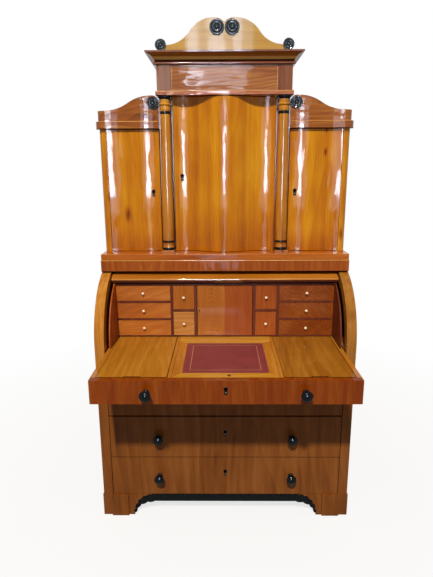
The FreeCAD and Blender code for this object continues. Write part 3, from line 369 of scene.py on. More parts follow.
def polished_wood(name, grain, tones, heart=(0, 0.3, 1), ring=0.12, ring_mm=24, tilt=(4, 3), streak=0.9,
                  streak_mm=26, streak_run=0.04, bend_mm=60, blotch=0.5, knots=(), foot=None,
                  coat=1.0, shine=0.05, gloss=1.22, wave=1.0):
    """A wood finish. Tones run from dark to pale, and the heart is a place on the middle line of the log."""
    material, tree = new_material(name)
    on_piece = add(tree, "ShaderNodeTexCoord").outputs["Object"]
    upright, bent = board_points(tree, on_piece, grain, heart, bend_mm)
    fibres = mottle(tree, bent, FIBRE_MM, 2.0, (1, 1, 0.03))["Fac"]
    streaks = mottle(tree, bent, streak_mm, 4.0, (1, 1, streak_run))["Fac"]
    blotches = mottle(tree, upright, BLOTCH_MM, 2.0, (1, 1, 0.5))["Fac"]
    tone = centred(tree, growth_rings(tree, bent, ring_mm, tilt), -ring, MIDDLE_TONE)
    for pattern, share in ((streaks, streak), (fibres, FIBRE_SHARE), (blotches, blotch)):
        tone = centred(tree, pattern, share, tone)
    for place, size_mm in knots:
        tone = knotted(tree, tone, bent, Vector(place) - Vector(heart), size_mm)
    # painted shade: the tone grows darker towards the foot
    if foot:
        reach, darker = foot
        height = add(tree, "ShaderNodeSeparateXYZ", {0: on_piece}).outputs["Z"]
        tone = darkened(tree, tone, height, DOOR_FOOT, reach, darker, "SMOOTHSTEP")
    ramp = add(tree, "ShaderNodeValToRGB", {"Fac": tone}, stops=zip(TONE_PLACES, tones))

    pores = add(tree, "ShaderNodeBump", {"Height": fibres, "Strength": 0.1, "Distance": PORE_DEPTH_MM * MM})
    ripple = mottle(tree, upright, WAVE_MM, 1.0, (1, 1, 0.3))["Fac"]
    ripple = add(tree, "ShaderNodeBump", {"Height": ripple, "Strength": wave, "Distance": WAVE_DEPTH_MM * MM})
    surface = add(tree, "ShaderNodeBsdfPrincipled", {
        "Base Color": ramp.outputs["Color"], "Roughness": 0.5, "Specular IOR Level": 0.0,
        "Coat Weight": coat, "Coat Roughness": shine, "Coat IOR": gloss,
        "Normal": pores.outputs[0], "Coat Normal": ripple.outputs[0],
    })
    add(tree, "ShaderNodeOutputMaterial", {"Surface": surface.outputs[0]})
    return material


wood = {}


def add_woods(woods):
    for name, settings in woods.items():
        wood[name] = polished_wood(name, **settings)
    print("woods:", list(woods))


print("tones are placed at:", TONE_PLACES)

# %% [markdown]
# ## Woods of the doors and columns
#
# The doors are amber with long straight streaks, because straight veneer bends best round a curve. Each
# list of tones runs from the dark of a knot to the palest streak. The heart is the place where the middle
# of the log would pass: close behind a board it gives arches, and far away nearly straight lines.

# %% Woods of the doors and columns
AMBER = ["#641E04", "#A45A04", "#BC7004", "#CC8608", "#DEA41E"]
COLUMN = ["#5A2A06", "#9E5E0C", "#B47214", "#C07E18", "#D2942C"]
BANDED = ["#4A1C06", "#783206", "#843A08", "#8E440C", "#9C5216"]
STRAIGHT = {"grain": "Z", "tones": AMBER, "streak_mm": 40, "streak_run": 0.012, "bend_mm": 15}

add_woods({
    # straight-cut veneer, polished: a calm amber door with hardly any rings, with painted shade at its foot
    "amber_cherry_centre": dict(
        heart=(0.06, 0.26, 1.5), ring_mm=30, ring=0.05, streak=0.65, foot=(0.22, 0.24), **STRAIGHT),
    # the same veneer with two small knots, dark spots that stop the eye, and painted shade at its foot
    "amber_cherry_left_wing": dict(
        heart=(-0.36, 0.30, 1.5), tilt=(-3, 3), ring=0.06, streak=0.7, foot=(0.12, 0.26), **STRAIGHT,
        knots=[((-0.443, 0.15, 1.363), 24), ((-0.50, 0.15, 1.45), 10)]),
    # its neighbour from the same log, with two smaller knots high up and painted shade at its foot
    "amber_cherry_right_wing": dict(
        heart=(0.48, 0.28, 1.6), tilt=(4, -3), ring=0.06, streak=0.7, foot=(0.12, 0.26), **STRAIGHT,
        knots=[((0.450, 0.15, 1.637), 13), ((0.450, 0.15, 1.73), 9)]),
    # thicker boards, planed round at the corners: livelier streaks than the veneer of the doors
    "amber_cherry_corners": dict(
        grain="Z", tones=AMBER, heart=(0.1, 0.5, 1.5),
        knots=[((-0.53, 0.15, 1.44), 12), ((0.535, 0.15, 1.276), 18)]),
    # turned and polished on the lathe: a clean upright highlight on blotchy gold, painted shade at its foot
    "amber_cherry_turned": dict(
        grain="Z", tones=COLUMN, heart=(0, 0.4, 1.5), blotch=0.8, foot=(0.2, 0.25), gloss=1.3, wave=0.25),
    # stained posts behind the columns: dark red with a hard gloss, so the columns stand out
    "red_cherry_posts": dict(grain="Z", tones=BANDED, heart=(0, 0.5, 1.5), shine=0.1, gloss=1.6, wave=0.3),
})

# %% [markdown]
# ## Woods of the cornice and mouldings
#
# Mouldings are redder and browner than the doors, as old cherry is where the sun has reached it less, and
# their grain runs level along them. The pediment has faded to honey, and the frieze has the strongest
# figure.

# %% Woods of the cornice and mouldings
EDGE_HIGHLIGHT = ["#7A4A10", "#BA8230", "#C8903C", "#D29C48", "#E0B060"]
RED_BROWN = ["#4A1A06", "#94480E", "#A65412", "#B05E1A", "#C07026"]
CREST = ["#3E1604", "#7E420E", "#904E14", "#9C5A1A", "#AE6E28"]
CORNICE = ["#46220A", "#8A5420", "#9C6026", "#AA6E2E", "#C0863E"]
COVE_SHEEN = ["#8A5A20", "#CC9648", "#D8A04E", "#E0AA58", "#EABA6E"]
BLOCK = ["#34120A", "#643218", "#743C1E", "#7E4624", "#8E5834"]
FRIEZE = ["#4C1C04", "#7E4212", "#92521A", "#A06022", "#B47832"]
HONEY = ["#7A5A20", "#AE8434", "#B98E3B", "#C09642", "#CEA652"]
LEVEL = {"grain": "X", "tones": RED_BROWN, "heart": (0.2, 0.3, 1.0), "ring_mm": 16, "streak_mm": 20}
COVED = {"grain": "X", "heart": (0, 0.3, 1.9), "ring_mm": 16, "tilt": (2, 3), "coat": 0.5}

add_woods({
    # pale tones on the upper edges, a painted highlight: a thin pale line that draws each moulding
    "cherry_edges_painted_highlight": dict(grain="X", tones=EDGE_HIGHLIGHT, streak=0.7, gloss=1.45),
    # planed level boards: warm red-brown lines, glossier on the architrave, which mirrors the window
    "red_cherry_architrave": dict(gloss=1.38, **LEVEL),
    "red_cherry_level": dict(**LEVEL),
    # sawn across the rings: brown arches on the curved tops of the wings
    "brown_cherry_crests": dict(
        grain="X", tones=CREST, heart=(0.36, 0.17, 1.84), ring_mm=18, tilt=(5, 4), ring=0.25, streak_mm=20,
        gloss=1.3),
    # scraped to a hollow: half the polish, so the cove looks soft, and a paler band of painted sheen
    "dark_cherry_cornice": dict(tones=CORNICE, **COVED),
    "cherry_cove_painted_sheen": dict(tones=COVE_SHEEN, **COVED),
    # small dark pieces, well polished: they frame the paler frieze and close the cornice
    "brown_cherry_blocks": dict(grain="Z", tones=BLOCK, heart=(0.1, 0.3, 1.9), ring_mm=16, wave=0.2),
    "brown_cherry_bead": dict(grain="X", tones=BLOCK, heart=(0, 0.3, 1.9), ring_mm=16, gloss=1.33, wave=0.2),
    # figured veneer: strong tilted rings that swirl under a wavy sheen
    "figured_cherry_frieze": dict(
        grain="X", tones=FRIEZE, heart=(0.06, 0.14, 1.95), ring_mm=13, tilt=(5, 6), ring=0.4, streak=0.7,
        wave=0.8),
    # plain veneer, faded by light: an even honey colour with a clean cool sheen
    "honey_cherry_pediment": dict(
        grain="X", tones=HONEY, heart=(0, 0.2, 2.0), ring_mm=30, ring=0.1, streak=0.5, wave=0.25),
})

# %% [markdown]
# ## Woods of the case
#
# The lower case is browner, partly painted shade under the slide, and the lids are olive where light and
# hands have worn the polish. On the rail and the slide's front the veneer is crossbanded: its short grain
# stands upright across a long board. Broad faces that are handled have a duller polish, with more
# roughness, so they mirror less.

# %% Woods of the case
CHEEK = ["#5A2A0A", "#9E6018", "#B27222", "#BC7C2C", "#CC9040"]
CHEEK_SHADE = ["#4C260A", "#885418", "#98621E", "#A26C28", "#B07E3A"]
FALL = ["#5A2406", "#945210", "#A66218", "#B26C1E", "#C68432"]
RAIL = ["#4A1A04", "#863E0B", "#95470D", "#9E5011", "#AD601C"]
BROWN_AND_SHADE = ["#3A1C0A", "#703E16", "#7C461A", "#864E1E", "#92582A"]
OLIVE = ["#5A320A", "#9C6016", "#A86C1A", "#B27622", "#C08630"]
OLIVE_DARK = ["#4E2A08", "#8A5212", "#965C16", "#A0661C", "#AE7628"]
BRIGHT = ["#7A4A10", "#AE7620", "#BC8226", "#C68E30", "#D4A042"]
SLOPE = ["#6A360A", "#A06018", "#AE6C1E", "#B87624", "#C68A34"]

add_woods({
    # a rounded edge in paler golden tones than the fall, a painted highlight, with a bright line along it
    "golden_cherry_nose_painted_highlight": dict(grain="X", tones=CHEEK, streak=0.7, gloss=1.42),
    # solid boards sawn to a quarter round: golden, with rings where the curve cuts the grain
    "golden_cherry_left_cheek": dict(
        grain="Z", tones=CHEEK, heart=(0, -0.1, 0.9), ring_mm=20, tilt=(9, 3), ring=0.2),
    # painted shade: the same golden wood in darker tones on the right cheek
    "golden_cherry_right_cheek_painted_shade": dict(
        grain="Z", tones=CHEEK_SHADE, heart=(0, -0.1, 0.8), ring_mm=20, tilt=(9, -3), ring=0.2),
    # bent veneer: level golden lines
    "golden_cherry_fall": dict(grain="X", tones=FALL, ring_mm=20, tilt=(3, 2)),
    # crossbanded veneer: short upright flames, orange on the rail and red on the slide's front
    "orange_cherry_crossbanded": dict(
        grain="Z", tones=RAIL, heart=(-0.3, -0.1, 0.6), tilt=(10, 5), streak_mm=20, ring=0.2),
    "red_cherry_crossbanded": dict(
        grain="Z", tones=BANDED, heart=(-0.3, -0.3, 0.4), ring_mm=30, tilt=(8, 4), streak_mm=22, ring=0.16,
        coat=0.6),
    # upright veneer over all three drawers: wide brown flames under a thin, dull polish, in tones darkened
    # by painted shade
    "brown_cherry_drawers_and_painted_shade": dict(
        grain="Z", tones=BROWN_AND_SHADE, heart=(0.12, -0.06, 0.2), ring_mm=60, tilt=(10, 7), ring=0.18, blotch=0.9,
        coat=0.5, shine=0.12),
    # planed lids, used as a table: olive brown with a blurred shine, darker on the right
    "olive_cherry_left_lid": dict(
        grain="Y", tones=OLIVE, heart=(-0.3, -0.2, 0.76), ring_mm=26, tilt=(5, 6), ring=0.16, shine=0.12),
    "olive_cherry_right_lid": dict(
        grain="Y", tones=OLIVE_DARK, heart=(0.38, -0.2, 0.74), ring_mm=30, tilt=(6, -5), ring=0.16,
        shine=0.12),
    # mitred frame of the writing top: bright along it, orange across it, so that the mitres show
    "bright_cherry_slope_rails": dict(grain="X", tones=BRIGHT, streak=0.7),
    "orange_cherry_slope_stiles": dict(grain="Y", tones=SLOPE, streak=0.7),
})

# %% [markdown]
# ## Woods of the inside
#
# Behind the fall the makers showed their best veneers. The prospect door has an arched figure on its left
# leaf and plain red wood on its right one, and the stacks of small drawers differ from each other. The
# polish there is thin and soft. Boards that nobody sees have none.

# %% Woods of the inside
SMALL = ["#4A1E08", "#9A5420", "#AA5E24", "#B46A2A", "#C4803C"]
GOLDEN = ["#5A2E10", "#9C5E22", "#AE7030", "#BC8040", "#CC9450"]
SHADED = ["#3A1406", "#70340F", "#803E14", "#8C481A", "#9E5C28"]
PROSPECT = ["#4A1E08", "#8E4C18", "#A05A1C", "#AE6824", "#BE7C36"]
LEAF = ["#44180A", "#884016", "#984A1A", "#A4541E", "#B4662C"]
DARK_RED = ["#220C05", "#542312", "#602A17", "#68321D", "#764028"]
PLAIN = ["#3E2614", "#7A5430", "#8A623A", "#967046", "#AA8458"]
SOFT_POLISH = {"coat": 0.7, "shine": 0.12, "wave": 0.4}
DULL_POLISH = {"ring_mm": 18, "coat": 0.6, "shine": 0.3}

add_woods({
    # veneer sawn aslant: soft diagonal shadows on warm red
    "red_cherry_small_drawers": dict(
        grain="X", tones=SMALL, heart=(-0.2, 0.1, 0.97), ring_mm=38, tilt=(14, 22), ring=0.16, streak=0.5,
        blotch=1.1, **SOFT_POLISH),
    # one front from a paler log: golden, with level lines
    "golden_cherry_small_drawer": dict(
        grain="X", tones=GOLDEN, heart=(-0.14, 0.09, 0.86), ring_mm=20, tilt=(6, 4), ring=0.25, streak=0.6,
        **SOFT_POLISH),
    # veneer cut near the end of the log: curls that run over three dark fronts
    "dark_cherry_small_drawers": dict(
        grain="Y", tones=SHADED, heart=(0.36, 0.1, 0.90), ring_mm=14, tilt=(30, -20), ring=0.2, streak=0.5,
        blotch=0.9, bend_mm=150, **SOFT_POLISH),
    # veneer cut through a leaning heart: fine arches, one inside the other
    "figured_cherry_prospect": dict(
        grain="Z", tones=PROSPECT, heart=(-0.055, 0.075, 0.862), ring_mm=9, tilt=(32, 4), ring=0.24,
        streak=0.4, bend_mm=110, **SOFT_POLISH),
    # plain veneer: redder and quieter than its neighbour
    "red_cherry_prospect": dict(
        grain="Z", tones=LEAF, heart=(0.3, 0.1, 0.98), ring_mm=20, tilt=(6, 9), ring=0.1, streak=0.5,
        blotch=0.8, **SOFT_POLISH),
    # planed boards, wiped with stain: dark red with a dull shine, so the fronts stand out. The paler red of
    # the left lining is painted light
    "red_cherry_lining_painted_light": dict(grain="Z", tones=LEAF, **DULL_POLISH),
    "dark_red_stained_dividers": dict(grain="Z", tones=DARK_RED, **DULL_POLISH),
    # planed and left bare: a dry grey-brown with no shine
    "plain_inner_wood": dict(grain="X", tones=PLAIN, ring_mm=14, coat=0.0, wave=0.0),
})

# %% [markdown]
# ## Ebonised wood, bone, stain and painted shade
#
# These finishes need no grain. One function makes a pattern of one size between two colours, which is
# enough for a small or dark surface. The size is a real one, such as the blotches of a stain or the lines
# in bone.

# %% Ebonised wood, bone, stain and painted shade
MATT = {"Roughness": 0.6, "Specular IOR Level": 0.0}


def two_tone(name, size_mm, dark, pale, stretch=(1, 1, 1), bump_mm=0.0, **settings):
    """A finish with one soft pattern between two colours, and a bump of the same pattern if asked."""
    material, tree = new_material(name)
    point = add(tree, "ShaderNodeTexCoord").outputs["Object"]
    pattern = mottle(tree, point, size_mm, 4.0, stretch)["Fac"]
    ramp = add(tree, "ShaderNodeValToRGB", {"Fac": pattern}, stops=((0.35, dark), (0.65, pale)))
    sockets = {"Base Color": ramp.outputs["Color"], **settings}
    if bump_mm:
        bump = add(tree, "ShaderNodeBump", {"Height": pattern, "Strength": 0.3, "Distance": bump_mm * MM})
        sockets["Normal"] = bump.outputs[0]
    surface = add(tree, "ShaderNodeBsdfPrincipled", sockets)
    add(tree, "ShaderNodeOutputMaterial", {"Surface": surface.outputs[0]})
    return material


# turned pear, stained black and polished: the turned rings show only in the highlights
ebony = two_tone("ebonised_pear_polished", 9, "#05070A", "#10161A", **{
    "Roughness": 0.4, "Specular IOR Level": 0.0, "Coat Weight": 0.8, "Coat Roughness": 0.1, "Coat IOR": 1.2})
# the same under wax: a bluer black with brighter highlights, on the rosettes
waxed_ebony = two_tone("ebonised_pear_waxed", 9, "#0A1216", "#18262C", **{
    "Roughness": 0.4, "Specular IOR Level": 0.0, "Coat Weight": 1.0, "Coat Roughness": 0.08, "Coat IOR": 1.4})
# bone, turned and rubbed: a warm white with fine darker lines
bone = two_tone("turned_bone", 1.5, "#E2CE9E", "#FFF4D8", (1, 0.15, 1), Roughness=0.3)
# old polish and dirt in joints, and painted shade in gaps and under mouldings: matt, nearly black lines
# that part the boards
joint_dirt_and_shade = two_tone("old_polish_and_painted_shade_in_joints", 6, "#1E0C05", "#3A1A0C", **MATT)
# a matt dark brown band low in the hollow of the cornice
cove_dark_band = two_tone("cove_dark_band_matt", 12, "#42241A", "#5C3828", (0.2, 1, 1), **MATT)
# the downward faces of the fall's lip, under its nose: dark brown
lip = two_tone("dark_brown_lip_faces", 30, "#502414", "#68341F", (0.05, 1, 1), **{
    "Roughness": 0.35, "Specular IOR Level": 0.15})
# a thin pale line round the frieze
pale_line = two_tone("pale_line_round_frieze", 20, "#C8A066", "#E4C694", (0.1, 1, 1), Roughness=0.3)
print("stained and inlaid:", [m.name for m in (ebony, waxed_ebony, bone, joint_dirt_and_shade, cove_dark_band, lip, pale_line)])

# %% [markdown]
# ## Metal and leather
#
# The fittings are brass that has gone dull, forged iron, and the filed steel of a lock deep in its hole.
# The writing leather is goat skin: its pebbles are too small to be modelled, so cells of their size bump
# the surface, and wide patches are worn a little paler. The gold line is leaf, pressed in with a hot tool.

# %% Metals

# brass, rubbed but not polished: yellow-brown with a soft glint
brass = two_tone("dull_brass_rubbed", 4, "#6A4A20", "#B89048", Metallic=1.0, Roughness=0.35)
# forged iron: dark, with blurred grey highlights
iron = two_tone("dark_iron_forged", 4, "#16140F", "#3A3632", Metallic=1.0, Roughness=0.5)
# filed steel, seen deep in a keyhole: a small grey speck
steel = two_tone("lock_steel_filed", 2, "#4E4A42", "#7A766C", Metallic=0.6, Roughness=0.5)
# the dark inside of a lock: no shine at all
hollow = two_tone("keyhole_shadow", 3, "#020202", "#060504", **{"Roughness": 0.9, "Specular IOR Level": 0.0})
# gold leaf, tooled and worn: pale gold, more paint than mirror
gold = two_tone("gold_leaf_tooled", 3, "#B8864E", "#E0B478", Metallic=0.3, Roughness=0.4)
print("metals:", [m.name for m in (brass, iron, steel, hollow, gold)])

# %% Leathers
PEBBLE_MM = 2.2
PEBBLE_DEPTH_MM = 0.2
WORN_MM = 90

# a cut scrap of hide: dark red and dry
tab_leather = two_tone("dark_leather_tab_cut", 3, "#3A0E10", "#521A1A", bump_mm=0.2, Roughness=0.6)

# dyed and glazed goat skin: deep red, with a low sheen that the pebbles break
leather, tree = new_material("red_goat_leather_dyed")
point = add(tree, "ShaderNodeTexCoord").outputs["Object"]
cells = {"Vector": point, "Scale": 1 / (PEBBLE_MM * MM)}
pebbles = add(tree, "ShaderNodeTexVoronoi", cells).outputs["Distance"]
worn = mottle(tree, point, WORN_MM, 3.0)["Fac"]
ramp = add(tree, "ShaderNodeValToRGB", {"Fac": worn}, stops=((0.25, "#722B2C"), (0.75, "#853738")))
grain = add(tree, "ShaderNodeBump", {"Height": pebbles, "Strength": 0.25, "Distance": PEBBLE_DEPTH_MM * MM})
surface = add(tree, "ShaderNodeBsdfPrincipled", {
    "Base Color": ramp.outputs["Color"], "Roughness": 0.5, "Specular IOR Level": 0.3,
    "Normal": grain.outputs[0],
})
add(tree, "ShaderNodeOutputMaterial", {"Surface": surface.outputs[0]})
print("leathers:", [m.name for m in (tab_leather, leather)])

# %% [markdown]
# ## Gathering the solids
#
# The CAD nodes come as loose triangles, and one node can hold several boards. Triangles belong to one solid
# where an edge joins exactly two of them. Boards that only touch share edges between four, and stay apart.

# %% Gathering the solids
WELD = 0.01 * MM


def solids_of(node):
    """The closed solids in a CAD node, each as (points, triangles)."""
    mesh = frame["nodes"][node].data
    mesh.calc_loop_triangles()
    index = {}
    number = [index.setdefault(tuple(round(c / WELD) for c in v.co), len(index)) for v in mesh.vertices]
    points = {place: v.co.copy() for place, v in zip(number, mesh.vertices)}
    triangles = [tuple(number[v] for v in t.vertices) for t in mesh.loop_triangles]
    triangles = [t for t in triangles if len(set(t)) == 3]
    users = {}
    for place, t in enumerate(triangles):
        for a, b in ((t[0], t[1]), (t[1], t[2]), (t[2], t[0])):
            users.setdefault((min(a, b), max(a, b)), []).append(place)
    parent = list(range(len(triangles)))

    def root(place):
        while parent[place] != place:
            parent[place] = parent[parent[place]]
            place = parent[place]
        return place

    for pair in users.values():
        if len(pair) == 2:
            parent[root(pair[0])] = root(pair[1])
    groups = {}
    for place, t in enumerate(triangles):
        groups.setdefault(root(place), []).append(t)
    solids = []
    for group in groups.values():
        renumber = {v: place for place, v in enumerate(sorted({v for t in group for v in t}))}
        solids.append(([points[v] for v in renumber], [tuple(renumber[v] for v in t) for t in group]))
    return solids


def corners_of(points):
    """The lowest and highest corner of the box round some points."""
    return [Vector([end(p[axis] for p in points) for axis in range(3)]) for end in (min, max)]


print("solids in the feet:", len(solids_of("feet")))

# %% [markdown]
# ## Eased edges
#
# A cabinet maker takes the sharpness off every edge, and polish rounds it further. That thin rounding is
# what catches the light along a board. The CAD solids are sharp, so flat triangles are merged into whole
# faces and a Bevel modifier eases the edges between them. It could be left live, but a plain mesh lets
# single faces change their finish afterwards. The bevel can have a finish of its own, which is how dark
# joints are made.

# %% Whole faces
FLAT = math.radians(0.6)


def whole_faces(points, triangles):
    """A solid's triangles merged into whole faces, as a bmesh."""
    solid = bmesh.new()
    made = [solid.verts.new(p) for p in points]
    for t in triangles:
        if solid.faces.get([made[v] for v in t]) is None:
            solid.faces.new([made[v] for v in t])
    bmesh.ops.dissolve_limit(solid, angle_limit=FLAT, verts=solid.verts[:], edges=solid.edges[:])
    solid.normal_update()
    return solid


foot = whole_faces(*solids_of("feet")[0])
print("faces of one solid of the feet:", len(foot.faces))
foot.free()

# %% Easing the edges
EASED_FROM = math.radians(40)
SHARP_FROM = math.radians(38)
FINE_MM = 0.6      # the easing of a crisp edge
slot_of = {row["node"]: row["material_slot"] for row in frame["record"]["subparts"]}
pieces = {}


def eased(node, finishes, ease_mm=FINE_MM, pick=None, edge_finish=-1, split=None, steps=2):
    """A copy of a CAD node with eased edges, which stands for it. pick chooses each face's finish."""
    mesh = bpy.data.meshes.new(node + "_eased")
    parts = bmesh.new()
    for points, triangles in solids_of(node):
        solid = whole_faces(points, triangles)
        if split:
            everything = solid.verts[:] + solid.edges[:] + solid.faces[:]
            bmesh.ops.bisect_plane(solid, geom=everything, plane_co=split[0], plane_no=split[1])
        low, high = corners_of(points)
        for face in solid.faces:
            face.smooth = True
            face.material_index = pick(face.calc_center_median(), face.normal, low, high) if pick else 0
        solid.to_mesh(mesh)
        solid.free()
        parts.from_mesh(mesh)
    parts.to_mesh(mesh)
    parts.free()
    for finish in finishes:
        mesh.materials.append(finish)
    mesh.set_sharp_from_angle(angle=SHARP_FROM)
    obj = bpy.data.objects.new(node + "_eased", mesh)
    bpy.context.scene.collection.objects.link(obj)
    bevel = obj.modifiers.new("ease", "BEVEL")
    bevel.width = ease_mm * MM
    bevel.segments = steps
    bevel.limit_method = "ANGLE"
    bevel.angle_limit = EASED_FROM
    bevel.harden_normals = True
    bevel.material = edge_finish
    obj.data = bpy.data.meshes.new_from_object(obj.evaluated_get(bpy.context.evaluated_depsgraph_get()))
    obj.modifiers.clear()
    bpy.data.meshes.remove(mesh)
    obj.data.name = node + "_eased"
    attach(obj, body_of[node])
    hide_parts(node)
    pieces[node] = obj
    return obj


print("edges are eased from", round(math.degrees(EASED_FROM)), "degrees")

# %% Changing single faces


def refinish(obj, finish, where):
    """Gives one of a piece's finishes to the faces for which where(centre, normal) holds."""
    for face in obj.data.polygons:
        if where(face.center, face.normal):
            face.material_index = finish


print("slots to fill:", sorted(set(slot_of.values())))

# %% [markdown]
# ## Pieces of one finish
#
# Doors, columns and posts have upright grain. The pediment, the crests and the cap run level. The three
# long drawers share one wood, darkened as painted shade, so its flames run over them as on a veneer cut in
# one sheet. Only their level joints keep the dark joint finish, with its painted shade, so the upright edges
# get the wood back after easing.

# %% Pieces of one finish
DRAWER_EASE_MM = 1.4
LEATHER_EASE_MM = 0.3
SIDEWAYS = 0.3      # a face that looks sideways by more than this belongs to an upright edge
one_finish = {
    "centre_door": "amber_cherry_centre", "left_wing_door": "amber_cherry_left_wing",
    "right_wing_door": "amber_cherry_right_wing", "wing_sides": "amber_cherry_corners",
    "column_shafts": "amber_cherry_turned", "cornice_cap": "brown_cherry_bead",
    "pediment": "honey_cherry_pediment", "wing_crests": "brown_cherry_crests",
    "slide_front": "red_cherry_crossbanded", "column_posts": "red_cherry_posts",
    "feet": "brown_cherry_drawers_and_painted_shade", "pigeonhole_boards": "dark_red_stained_dividers",
    "pigeonhole_dividers": "dark_red_stained_dividers",
}
for node, name in one_finish.items():
    eased(node, [wood[name]])
eased("rosettes", [waxed_ebony])
for node in ("column_rings", "apron", "slide_knobs"):
    eased(node, [ebony])
for drawer in ("top_drawer", "middle_drawer", "bottom_drawer"):
    front_finishes = [wood["brown_cherry_drawers_and_painted_shade"], joint_dirt_and_shade]
    front = eased(drawer + "_front", front_finishes, ease_mm=DRAWER_EASE_MM, edge_finish=1)
    refinish(front, 0, lambda centre, normal: abs(normal.x) > SIDEWAYS)
    eased(drawer + "_knobs", [ebony])
eased("slope_leather", [leather], ease_mm=LEATHER_EASE_MM)
print("pieces of one finish:", len(pieces))

# %% [markdown]
# ## Cheeks and fall
#
# The case sides end in quarter-round cheeks of one golden wood. The right one is darker, painted shade,
# and below the slide both take the drawers' wood with its painted shade. One piece can hold several
# finishes: a small function looks at each face and picks one. A cut at the slide's foot gives the change
# a straight edge. The fall is golden, the downward faces of its lip are dark brown, and the wide rounding
# between them is the nose that catches the light, its paler tones a painted highlight.

# %% Cheeks and fall
CHEEK_EASE_MM = 1.0
NOSE_EASE_MM = 7.0
LIP_DEPTH = 30 * MM
FORWARD = -0.5      # a face whose direction has less Y than this looks to the front
slide_low, slide_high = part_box("slide_front")
fall_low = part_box("fall_panel")[0]


def cheek_finish(centre, normal, low, high):
    # painted shade: the drawers' darker wood below the slide, and a darker copy on the right cheek
    if normal.y < FORWARD and centre.z < slide_low.z:
        return 2
    return 0 if centre.x < 0 else 1


def fall_finish(centre, normal, low, high):
    return 1 if normal.z < 0 and centre.y < low.y + LIP_DEPTH else 0


cheek_names = ("golden_cherry_left_cheek", "golden_cherry_right_cheek_painted_shade", "brown_cherry_drawers_and_painted_shade")
cheek_woods = [wood[name] for name in cheek_names]
for node in ("case_sides", "cheek_facings"):
    eased(node, cheek_woods, ease_mm=CHEEK_EASE_MM, pick=cheek_finish, split=(slide_low, (0, 0, 1)))
fall_woods = [wood["golden_cherry_fall"], lip, wood["golden_cherry_nose_painted_highlight"]]
fall = eased("fall_panel", fall_woods, ease_mm=NOSE_EASE_MM, pick=fall_finish, edge_finish=2, steps=4)
refinish(fall, 1, lambda centre, normal: fall_finish(centre, normal, fall_low, None))
print("faces of the fall:", len(fall.data.polygons))

# %% [markdown]
# ## Frieze and mouldings
#
# The frieze is a figured panel between upright blocks, and the long boards are the panel. Slab, architrave,
# rail and wing bands have pale tones on their upper edges, a painted highlight, and a dark finish under the
# lower ones, painted shade. The bevel gives all edges the pale tones first. Then the direction of each face
# tells which ones are upright, and get the wood back, and which ones look down, and get the painted shade.

# %% Frieze and mouldings
MOULDING_EASE_MM = 2.5
LONG_BOARD = 0.4
UPRIGHT = 0.2      # a face that looks up or down by less than this stands upright
UNDERSIDE = -0.98      # a face that looks down by more than this is a level underside


def frieze_finish(centre, normal, low, high):
    return 0 if high.x - low.x > LONG_BOARD else 1


eased("frieze", [wood["figured_cherry_frieze"], wood["brown_cherry_blocks"]], pick=frieze_finish)
for node, name in (
    ("plinth_slab", "red_cherry_level"), ("architrave", "red_cherry_architrave"),
    ("top_rail", "orange_cherry_crossbanded"), ("wing_bands", "brown_cherry_crests"),
):
    moulding_finishes = [wood[name], wood["cherry_edges_painted_highlight"], joint_dirt_and_shade]
    moulding = eased(node, moulding_finishes, ease_mm=MOULDING_EASE_MM, edge_finish=1)
    # upward edges stay pale, a painted highlight; downward faces take the joints' painted shade
    refinish(moulding, 0, lambda centre, normal: abs(normal.z) < UPRIGHT)
    refinish(moulding, 2, lambda centre, normal: UNDERSIDE < normal.z < -UPRIGHT)
print("pieces so far:", len(pieces))

# %% [markdown]
# ## Cornice
#
# The cornice is a hollow cove over a small bead. Just above the bead lies a matt dark brown band, above
# that a paler band of painted sheen, and the rest of the cove is dark. All three change at a height, so
# they are set from the top down, each over the one before.

# %% Cornice
BEAD_HEIGHT = 12 * MM
DARK_BAND_HEIGHT = 8 * MM
SHEEN_HEIGHT = 11 * MM
bead_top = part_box("cornice")[0].z + BEAD_HEIGHT
dark_band_top = bead_top + DARK_BAND_HEIGHT
sheen_top = dark_band_top + SHEEN_HEIGHT
cornice_woods = [wood["dark_cherry_cornice"], cove_dark_band, wood["brown_cherry_bead"], wood["cherry_cove_painted_sheen"]]
cornice = eased("cornice", cornice_woods)
# painted sheen first, then the dark band and the bead over its lower part
for finish, top in ((3, sheen_top), (1, dark_band_top), (2, bead_top)):
    refinish(cornice, finish, lambda centre, normal: centre.z < top)
print("cornice bands end at:", [round(top, 3) for top in (bead_top, dark_band_top, sheen_top)])

# %% [markdown]
# ## Prospect door and linings
#
# The prospect door has two leaves of veneer that meet in the middle, so its front is cut there and each
# side gets its own leaf. The two linings beside the drawers are one kind of board, finished by side: the
# left one in paler red, painted light, and the right one in the dark wood of the dividers, painted shade.

# %% Prospect door and linings
MIDDLE_CUT = ((0, 0, 0), (1, 0, 0))      # a point of the cut and the direction that it faces


def side_finish(centre, normal, low, high):
    return 0 if centre.x < 0 else 1


leaves = [wood["figured_cherry_prospect"], wood["red_cherry_prospect"]]
eased("prospect_door", leaves, pick=side_finish, split=MIDDLE_CUT)
# painted light on the left lining, and painted shade on the right one
linings = [wood["red_cherry_lining_painted_light"], wood["dark_red_stained_dividers"]]
eased("cheek_linings", linings, pick=side_finish)
print("leaves:", [leaf.name for leaf in leaves])

# %% [markdown]
# ## Writing top and lids
#
# The writing top is a frame of bright rails and orange stiles, with a lid on each side. A board that is
# longer across the bureau than along its depth is a rail. The eased edges take the finish of the old
# joints, with its painted shade, so each board is drawn round with a dark line.

# %% Writing top and lids
FRAME_EASE_MM = 2.0
LID_EASE_MM = 2.2


def writing_top_finish(centre, normal, low, high):
    return 0 if high.x - low.x > high.y - low.y else 1


